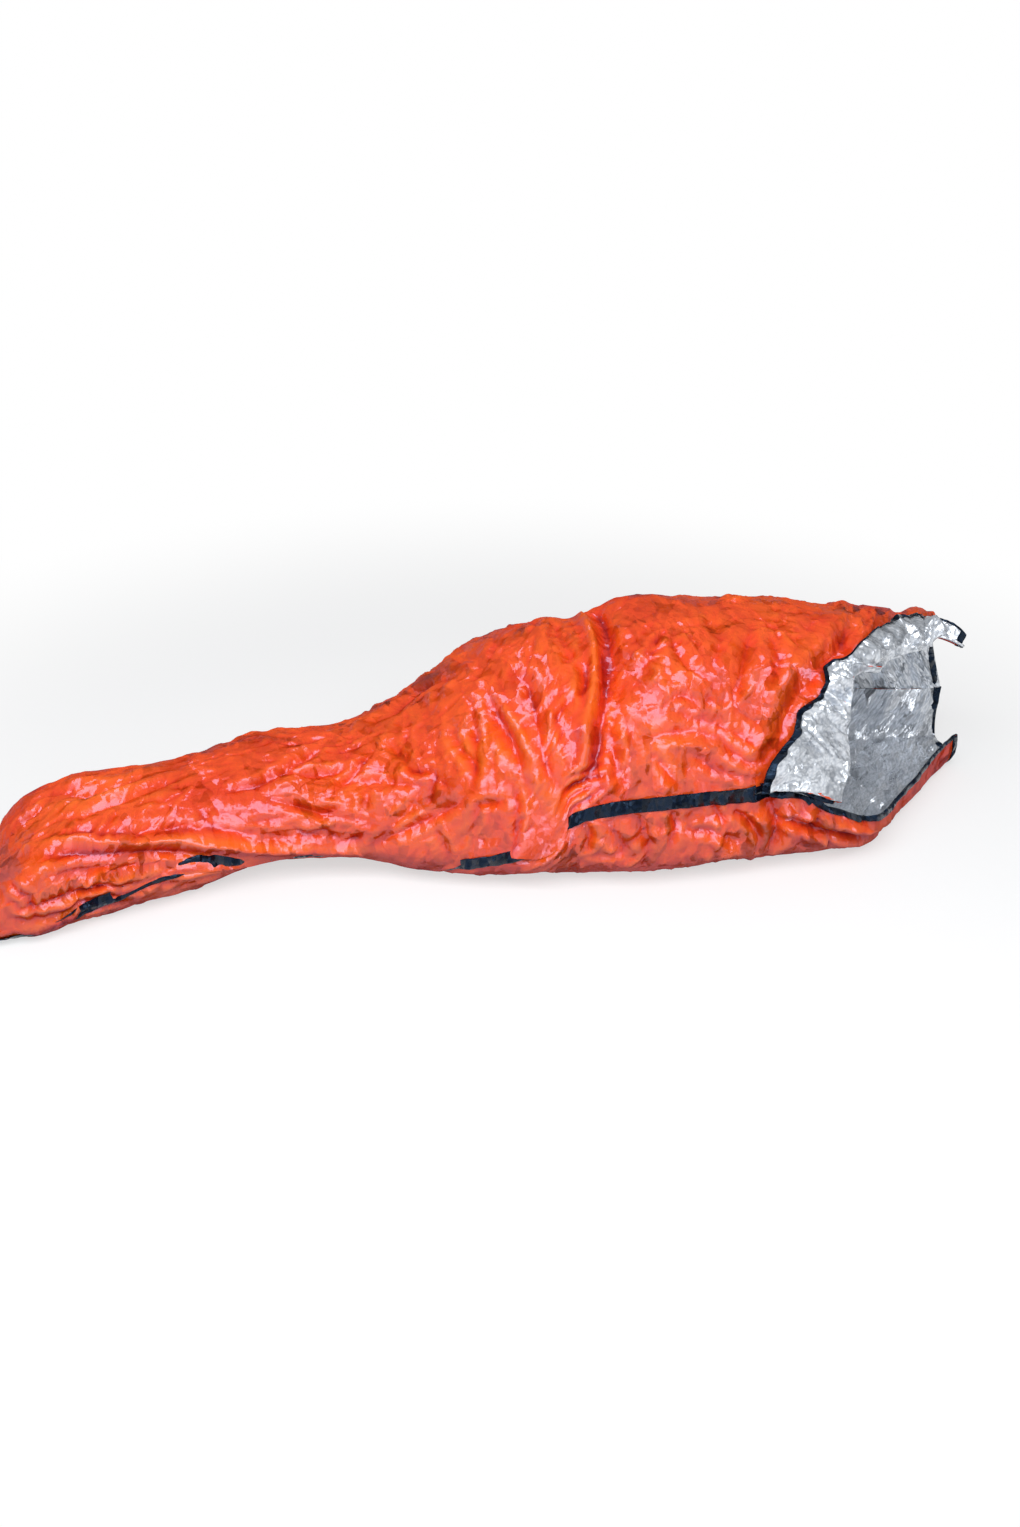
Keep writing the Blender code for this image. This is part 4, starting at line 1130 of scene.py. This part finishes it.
def rim_sheet(rows, roll, strength):
    """The whole turned-back rim: it rolls outwards over the crease and lies on the bag."""
    crease, free = rim_columns()
    start = np.stack([np.full(len(crease), CREASE_FOOT_X), crease], -1)
    root, _, _ = upper_form(start[:, 0], start[:, 1])
    depth = np.concatenate([np.zeros(ROLL_ROWS), np.linspace(0, 1, rows)])[None]
    u = start[:, :1] + depth * (free[:, :1] - start[:, :1])
    m = start[:, 1:] + depth * (free[:, 1:] - start[:, 1:])
    points, s, t = upper_form(u, m)
    inner, _, _ = upper_form(u - SLOPE_STEP, m)
    outer, _, _ = upper_form(np.minimum(u + SLOPE_STEP, CREASE_FOOT_X), m)
    before, _, _ = upper_form(u, m - SLOPE_STEP)
    after, _, _ = upper_form(u, m + SLOPE_STEP)
    normals = unit(np.cross(outer - inner, after - before))
    width = np.linalg.norm(points[:, -1] - root, axis=-1)
    away = depth * width[:, None]
    forward = root - points[:, ROLL_ROWS + 4]
    forward -= (forward * normals[:, 0]).sum(-1)[:, None] * normals[:, 0]
    forward = unit(forward)
    along = running_length(points[:, ROLL_ROWS + rows // 2])
    wide, fine = waves(along, ROLL_STEPS)
    radius = (roll * (1 + wide + fine))[:, None]
    rolled = np.linspace(0, np.pi, ROLL_ROWS + 1)[:-1]
    turn = np.concatenate([rolled, np.full(rows, np.pi)])[None]
    puff = PUFF * np.sin(np.pi * depth) + EDGE_PUFF * depth
    from_s, from_t = RIM_CRINKLE_START
    crinkle = RIM_CRINKLE * relief(s * RIM_CRINKLE_SCALE + from_s, from_t - t * RIM_CRINKLE_SCALE)
    edge_calm = 0.3 + 0.7 * ease((width[:, None] - away) / 0.02)
    height = radius * (1 - np.cos(turn)) + puff
    height = height + strength * crinkle * ease(away / 0.008) * edge_calm
    height = height - TUCK * ease(1 - turn / 0.4)
    wide, fine = waves(along, SWAY_STEPS)
    sway = np.maximum(TUCK + (wide + fine), 0)[:, None]
    sway = sway * ease(1 - away / 0.03) * ease(turn / 1.2) * strength
    points = points + normals * (height + RIM_RISE)[..., None]
    points = points + forward[:, None] * (radius * np.sin(turn) + sway)[..., None]
    back = -np.linspace(np.pi, 0, ROLL_ROWS + 1)[:-1]
    around = np.concatenate([back, np.zeros(rows)])[None] * radius + away
    places = np.stack(np.broadcast_arrays(along[:, None], around), -1)
    return Sheet(points, places, normals)


def with_hood_tip(sheet, count):
    """The rim with columns that carry the hood's last one on into its drooping, rounded tip."""
    points, places, normals = sheet
    last = points[:, None][-1]
    share = np.linspace(0, 1, last.shape[1])[None, :, None]
    reach = HOOD_TIP_REACH + share * HOOD_TIP_LEAN
    step = np.linspace(0, 1, count + 1)[1:, None, None]
    middle = last.mean(1, keepdims=True)
    narrow = np.sqrt(np.clip(1 - (HOOD_TIP_NARROWING * step) ** 4.0, 0, 1))
    body = middle + (last - middle) * narrow
    curl = HOOD_TIP_CURL * np.sin(np.pi * step) * (1 - share)
    droop = HOOD_TIP_DROOP * step**2
    tip = body + reach * step + droop + curl
    gained = np.linalg.norm(np.diff(np.concatenate([last, tip]), axis=0), axis=-1).cumsum(0)
    rounds = np.broadcast_to(places[-1, :, 1], gained.shape)
    tip_places = np.stack([places[-1, :, 0] + gained, rounds], -1)
    return Sheet(
        np.concatenate([points, tip]),
        np.concatenate([places, tip_places]),
        np.concatenate([normals, np.repeat(normals[-1:], count, 0)]),
    )


def hood_tape_lines(points):
    """Lines of the hood's tape: along its free edge, round the tip and back to the crease."""
    lines = []
    for row in TAPE_ROWS:
        along_edge = points[: len(points) + 1 - row, -row]
        lines.append(np.concatenate([along_edge, points[-row, -row - 1 :: -1]]))
    longest = max(len(line) for line in lines)
    goal = np.linspace(0, 1, longest)
    shares = [np.linspace(0, 1, len(line)) for line in lines]
    return [
        np.stack([np.interp(goal, share, line[:, axis]) for axis in range(3)], -1)
        for share, line in zip(shares, lines)
    ]


def bound_edge(name, lines, normals, seed, context, faces=(0.0, 0.0), shown=1.0):
    """Tape folded over an edge: along the outer face, round the edge and back under it."""
    edge, middle, inner = lines
    below, above = faces
    along = running_length(edge)
    pucker = PUCKER * np.abs(rolling(along / 0.013, along * 0, seed))[:, None]
    wavy = 0.80 + 0.45 * rolling(along / 0.020, along * 0, seed + 7)
    part = (np.minimum(wavy, 1) * shown)[:, None]
    out = unit(edge - inner)
    top = above + TAPE_GAP + pucker
    under = below - TAPE_GAP
    loop = [
        edge + (inner - edge) * part + normals * top,
        edge + (middle - edge) * part + normals * (top + 0.0004),
        edge + normals * top,
        edge + normals * (top * 0.6) + out * TAPE_NOSE,
        edge + out * 1.5 * TAPE_NOSE,
        edge + normals * (under * 0.8) + out * TAPE_NOSE,
        edge + normals * under,
        middle + normals * under,
        inner + normals * under,
    ]
    points = np.stack(loop, 1)
    steps = np.cumsum(np.linalg.norm(np.diff(points, axis=1), axis=-1), 1)
    across = np.concatenate([np.zeros((len(edge), 1)), steps], 1)
    places = np.stack(np.broadcast_arrays(along[:, None], across), -1)
    finish = [tape_material(context.scene.bivvy_looks)]
    return grid_piece(name, points, places, finish, context.scene.bivvy_sizes.tape_wall, 1)


def flap_tape(context, name, points, normals):
    """Tape round the free edge of a flap; most of the hood's is turned under."""
    facing = normals[:, -1]
    lines = [points[:, -row] for row in TAPE_ROWS]
    shown = 1.0
    if name == "hood":
        lines = hood_tape_lines(points)
        extra = len(lines[0]) - len(facing)
        facing = np.concatenate([facing, np.repeat(facing[-1:], extra, 0)])
        shown = np.interp(np.arange(len(facing)), HOOD_TAPE_COLUMNS, HOOD_TAPE_SHOWN)
    faces = (-RIM_WALL, 0)
    return bound_edge(name + "_binding", lines, facing, RIM_TAPE_SEED, context, faces, shown)


def join_to_bag(piece, name):
    """Bake a lapel or hood piece's place into its mesh, or let any other piece follow the bag."""
    if name == "lapel":
        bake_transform(piece)
    elif name == "hood":
        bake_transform(piece)
    else:
        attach(piece, "bag")


class BIVVY_OT_rim(bpy.types.Operator):
    """Turned-back rim: lapel, corner and hood cuff with their bound edge"""

    bl_idname = "bivvy.rim"
    bl_label = "Turned-back rim"

    def execute(self, context):
        sizes = context.scene.bivvy_sizes
        looks = context.scene.bivvy_looks
        rim = rim_sheet(RIM_ROWS, sizes.roll, sizes.crumple)
        hood_first = LAPEL_COLUMNS + CORNER_COLUMNS
        spans = {
            "lapel": slice(0, LAPEL_COLUMNS),
            "corner": slice(LAPEL_COLUMNS - 1, hood_first + 1),
            "hood": slice(hood_first, None),
        }
        rim = with_hood_tip(rim, HOOD_TIP_COLUMNS)
        finish = [lining_material(looks), film_material(looks)]
        for name, span in spans.items():
            points, places, normals = [field[span] for field in rim]
            flap = grid_piece(name + "_flap", points, places, finish, RIM_WALL, -1)
            tape = flap_tape(context, name, points, normals)
            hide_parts(name + "_film", name + "_lining")
            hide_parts(name + "_tape")
            for piece in (flap, tape):
                join_to_bag(piece, name)
        for name, flat, area in FLAPS:
            flap = bpy.data.objects[name + "_flap"]
        return {"FINISHED"}


# ---------------------------------------------------------------- tapes

TAPE_LINES = 9
SEAM_ROW_LENGTH = 0.003
SEAM_RISE = 0.0022
SEAM_TAPE_SEED = 64
FOOT_RISE = 0.0020
FOOT_NOSE = 0.0012
FOOT_GIRTH = 0.34
LIP_FACES = (-0.0016, 0.001)
EDGE_ROWS = 90
END_ROWS = 160
SLIT_GIRTH = 0.92
LIP_GIRTH = 0.75
# How far a step in station reaches at the slanted head end and far rim
HEAD_END_SLANT = 2.3
FAR_RIM_SLANT = 2.1
# Each line of the foot's tape: panel, and distance from the foot seam
FOOT_LINES = (
    (lower_form, 0.014),
    (lower_form, 0.007),
    (lower_form, 0.0),
    (upper_form, 0.001),
    (upper_form, 0.0025),
    (upper_form, 0.0045),
)


def film_line(form, u, m, strength, rise, calm=None):
    """Line of points on a crumpled panel, with its outward normals."""
    points, s, t = form(u, m)
    ahead, _, _ = form(np.minimum(u + SLOPE_STEP, CREASE_FOOT_X), m)
    behind, _, _ = form(u - SLOPE_STEP, m)
    above, _, _ = form(u, np.minimum(m + SLOPE_STEP, 1))
    below, _, _ = form(u, np.maximum(m - SLOPE_STEP, 0))
    outward = 1 if form is upper_form else -1
    normals = unit(np.cross(ahead - behind, above - below)) * outward
    height = relief(s, t) * strength * seam_calm(t if calm is None else calm) * foot_calm(s)
    return lifted(points, normals, height + rise), normals


def tape_grid(context, name, points, along):
    """Tape through lines of points; along holds the places on its length."""
    sizes = context.scene.bivvy_sizes
    across = np.linspace(0, sizes.tape_width, points.shape[1])[None]
    places = np.stack(np.broadcast_arrays(along[:, None], across), -1)
    finish = [tape_material(context.scene.bivvy_looks)]
    return grid_piece(name, points, places, finish, sizes.tape_wall, 1)


def seam_tape(context, name, first, last, near):
    """Tape over the near or the far seam, half of it on each panel."""
    sizes = context.scene.bivvy_sizes
    rows = int((last - first) / SEAM_ROW_LENGTH)
    u = np.linspace(first, last, rows)
    half = sizes.tape_width / 2
    lines = []
    for across in np.linspace(-half, half, TAPE_LINES):
        form = upper_form if (across > 0) == near else lower_form
        girth = form(u, np.full(rows, 1.0))[2] - form(u, np.full(rows, 0.0))[2]
        share = np.abs(across) / np.abs(girth)
        m = share if near else 1 - share
        calm = None if near else np.abs(across)
        lines.append(film_line(form, u, m, sizes.crumple, SEAM_RISE, calm))
    points = np.stack([line[0] for line in lines], 1)
    normals = np.stack([line[1] for line in lines], 1)
    along = running_length(points[:, TAPE_LINES // 2])
    rounds = np.linspace(0, 1.2, TAPE_LINES)[None]
    pucker = PUCKER * rolling(along[:, None] / 0.015, rounds, SEAM_TAPE_SEED)
    points = points + normals * pucker[..., None]
    return tape_grid(context, name, points if near else points[:, ::-1], along)


def foot_tape(context, name):
    """Tape folded over the foot seam."""
    m = np.linspace(0.015, 0.985, 120)
    lines = [
        film_line(form, np.full(len(m), FOOT_X + reach), m, 0.0, FOOT_RISE)[0]
        for form, reach in FOOT_LINES
    ]
    points = np.stack(lines, 0)
    points[2:4, :, 0] -= FOOT_NOSE
    sizes = context.scene.bivvy_sizes
    across = np.linspace(0, sizes.tape_width, len(FOOT_LINES))[:, None]
    places = np.stack(np.broadcast_arrays(m[None] * FOOT_GIRTH, across), -1)
    finish = [tape_material(context.scene.bivvy_looks)]
    return grid_piece(name, points, places, finish, sizes.tape_wall, 1)


def edge_tape(context, name, form, u, m, inward, seed):
    """Binding along a free edge; inward is the step in station and share over one half."""
    du, dm = inward
    crumple = context.scene.bivvy_sizes.crumple
    made = [film_line(form, u + k * du, m + k * dm, crumple, 0.0) for k in (0, 0.5, 1)]
    lines = [points for points, _ in made]
    return bound_edge(name, lines, made[0][1], seed, context, LIP_FACES)


class BIVVY_OT_tapes(bpy.types.Operator):
    """Tapes over the seams and round the free edges of the panels"""

    bl_idname = "bivvy.tapes"
    bl_label = "Tapes"

    def execute(self, context):
        parting = SLIT_START + SLIT_LENGTH
        far_end = CREASE_FOOT_X - 0.004
        made = {
            "near_seam_tape": seam_tape(context, "near_seam_strip", FOOT_X, parting, True),
            "far_seam_tape": seam_tape(context, "far_seam_strip", FOOT_X + 0.012, far_end, False),
            "foot_tape": foot_tape(context, "foot_strip"),
        }
        half = context.scene.bivvy_sizes.tape_width / 2
        side = np.linspace(parting, CREASE_FOOT_X - 0.002, EDGE_ROWS)
        seam = np.zeros(EDGE_ROWS)
        end = np.full(END_ROWS, CREASE_FOOT_X)
        across = np.linspace(0, 1, END_ROWS)
        rim = np.full(EDGE_ROWS, CREASE_FOOT_X)
        far = np.linspace(RIM_TAPE_SHARE, 1, EDGE_ROWS)
        to_head = -half / HEAD_END_SLANT
        to_rim = -half / FAR_RIM_SLANT
        for node, piece, form, u, m, inward, seed in (
            ("slit_tape", "slit_binding", upper_form, side, seam, (0, half / SLIT_GIRTH), 66),
            ("lip_tape", "lip_binding", lower_form, side, seam, (0, half / LIP_GIRTH), 67),
            ("lip_end_tape", "lip_end_binding", lower_form, end, across, (to_head, 0), 68),
            ("far_rim_tape", "far_rim_binding", upper_form, rim, far, (to_rim, 0), 69),
        ):
            made[node] = edge_tape(context, piece, form, u, m, inward, seed)
        for node, piece in made.items():
            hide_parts(node)
            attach(piece, "bag")
        return {"FINISHED"}


# ---------------------------------------------------------------- stage

WHITE = (1, 1, 1, 1)
FLOOR_HALF = 2.2
TARGET = (0.020 + SHIFT[0], SHIFT[1], 0.17 + SHIFT[2])
# Azimuth and elevation in degrees, and distance, of the camera and the lamps from the target
CAMERA_PLACE = (-12, 28, 3.64)
CAMERA_LENS = 44
CAMERA_SENSOR = 36
LAMP_COLOUR = (0.95, 0.97, 1.0)
LAMPS = (
    ("key", (-14, 56, 3.0), (4.4, 1.8), 102),
    ("front", (-14, 29, 3.4), (4.6, 1.9), 38),
)


def around(azimuth, elevation, distance):
    """Place at an angle and a distance from the target."""
    a = radians(azimuth)
    e = radians(elevation)
    back = Vector((sin(a) * cos(e), -cos(a) * cos(e), sin(e)))
    return Vector(TARGET) + back * distance


def placed(scene, name, data, place):
    """Lamp or camera at a place, turned to the target."""
    thing = bpy.data.objects.new(name, data)
    scene.collection.objects.link(thing)
    thing.location = place
    away = Vector(place) - Vector(TARGET)
    thing.rotation_euler = away.to_track_quat("Z", "Y").to_euler()
    return thing


def seen_rays(n):
    """One for the rays that show the background: straight, mirrored or let through."""
    path = n.add("ShaderNodeLightPath").outputs
    mirrored = n.math("MAXIMUM", path["Is Camera Ray"], path["Is Glossy Ray"])
    return n.math("MAXIMUM", mirrored, path["Is Transmission Ray"])


def floor_material():
    """Pale floor that keeps the shadow under the bag and fades to white further out."""
    n = material_nodes("pale_floor")
    pale = {"Base Color": (0.94, 0.94, 0.94, 1), "Roughness": 0.9}
    shader = n.add("ShaderNodeBsdfPrincipled", pale).outputs[0]
    dim = n.add("ShaderNodeBsdfDiffuse", {"Color": (0.30, 0.30, 0.30, 1)}).outputs[0]
    white = n.add("ShaderNodeEmission", {"Color": WHITE, "Strength": 1.0}).outputs[0]
    place = n.add("ShaderNodeTexCoord").outputs["Object"]
    reach = n.add("ShaderNodeVectorMath", {0: place}, operation="LENGTH").outputs["Value"]
    span = {"Value": reach, "From Min": 0.9, "From Max": 2.0, "To Min": 0.60}
    fade = n.add("ShaderNodeMapRange", span, interpolation_type="SMOOTHSTEP").outputs[0]
    lit = n.add("ShaderNodeMixShader", {"Fac": fade, 1: shader, 2: white}).outputs[0]
    return n.end(n.add("ShaderNodeMixShader", {"Fac": seen_rays(n), 1: dim, 2: lit}))


def studio_world():
    """Soft light all round, a little more from the front, over a white ground."""
    n = Nodes(bpy.data.worlds.new("studio"), "ShaderNodeOutputWorld")
    way = n.add("ShaderNodeTexCoord").outputs["Generated"]
    parts = n.add("ShaderNodeSeparateXYZ", {0: way}).outputs
    span = {"Value": parts["Y"], "From Min": 0.6, "From Max": -0.6, "To Min": 0.22, "To Max": 0.30}
    strength = n.add("ShaderNodeMapRange", span).outputs[0]
    colour = (0.97, 0.98, 1.0, 1)
    soft = n.add("ShaderNodeBackground", {"Color": colour, "Strength": strength}).outputs[0]
    white = n.add("ShaderNodeBackground", {"Color": WHITE}).outputs[0]
    below = n.math("LESS_THAN", parts["Z"], 0.0)
    both = n.math("MULTIPLY", below, seen_rays(n))
    return n.end(n.add("ShaderNodeMixShader", {"Fac": both, 1: soft, 2: white}))


class BIVVY_OT_stage(bpy.types.Operator):
    """Pale floor, soft lamps and the camera"""

    bl_idname = "bivvy.stage"
    bl_label = "Stage"

    def execute(self, context):
        scene = context.scene
        bm = bmesh.new()
        bmesh.ops.create_grid(bm, x_segments=1, y_segments=1, size=FLOOR_HALF)
        mesh = bpy.data.meshes.new("floor")
        bm.to_mesh(mesh)
        bm.free()
        mesh.materials.append(floor_material())
        floor = bpy.data.objects.new("floor", mesh)
        scene.collection.objects.link(floor)

        camera = bpy.data.cameras.new("camera")
        camera.lens = CAMERA_LENS
        camera.sensor_fit = "VERTICAL"
        camera.sensor_height = CAMERA_SENSOR
        scene.camera = placed(scene, "camera", camera, around(*CAMERA_PLACE))

        for name, place, size, power in LAMPS:
            light = bpy.data.lights.new(name, "AREA")
            light.shape = "RECTANGLE"
            light.size = size[0]
            light.size_y = size[1]
            light.energy = power
            light.color = LAMP_COLOUR
            placed(scene, name, light, around(*place))

        scene.world = studio_world()
        scene.view_settings.view_transform = "Standard"
        return {"FINISHED"}


# ---------------------------------------------------------------- panel and run


class BIVVY_PT_panel(bpy.types.Panel):
    bl_idname = "BIVVY_PT_panel"
    bl_label = "Bivvy Bag"
    bl_space_type = "VIEW_3D"
    bl_region_type = "UI"
    bl_category = "Bivvy"

    def draw(self, context):
        layout = self.layout
        for group in (context.scene.bivvy_sizes, context.scene.bivvy_looks):
            box = layout.box()
            for name in group.__annotations__:
                box.prop(group, name)
        for operator in OPERATORS:
            layout.operator(operator.bl_idname)


OPERATORS = (
    BIVVY_OT_stage,
    BIVVY_OT_upper_panel,
    BIVVY_OT_lower_panel,
    BIVVY_OT_rim,
    BIVVY_OT_tapes,
)
CLASSES = (BivvySizes, BivvyLooks, *OPERATORS, BIVVY_PT_panel)


def register():
    for cls in CLASSES:
        bpy.utils.register_class(cls)
    bpy.types.Scene.bivvy_sizes = bpy.props.PointerProperty(type=BivvySizes)
    bpy.types.Scene.bivvy_looks = bpy.props.PointerProperty(type=BivvyLooks)


def unregister():
    del bpy.types.Scene.bivvy_looks
    del bpy.types.Scene.bivvy_sizes
    for cls in reversed(CLASSES):
        bpy.utils.unregister_class(cls)


def main():
    register()
    bpy.ops.bivvy.stage()
    bpy.ops.bivvy.upper_panel()
    bpy.ops.bivvy.lower_panel()
    bpy.ops.bivvy.rim()
    bpy.ops.bivvy.tapes()


if __name__ == "__main__":
    main()
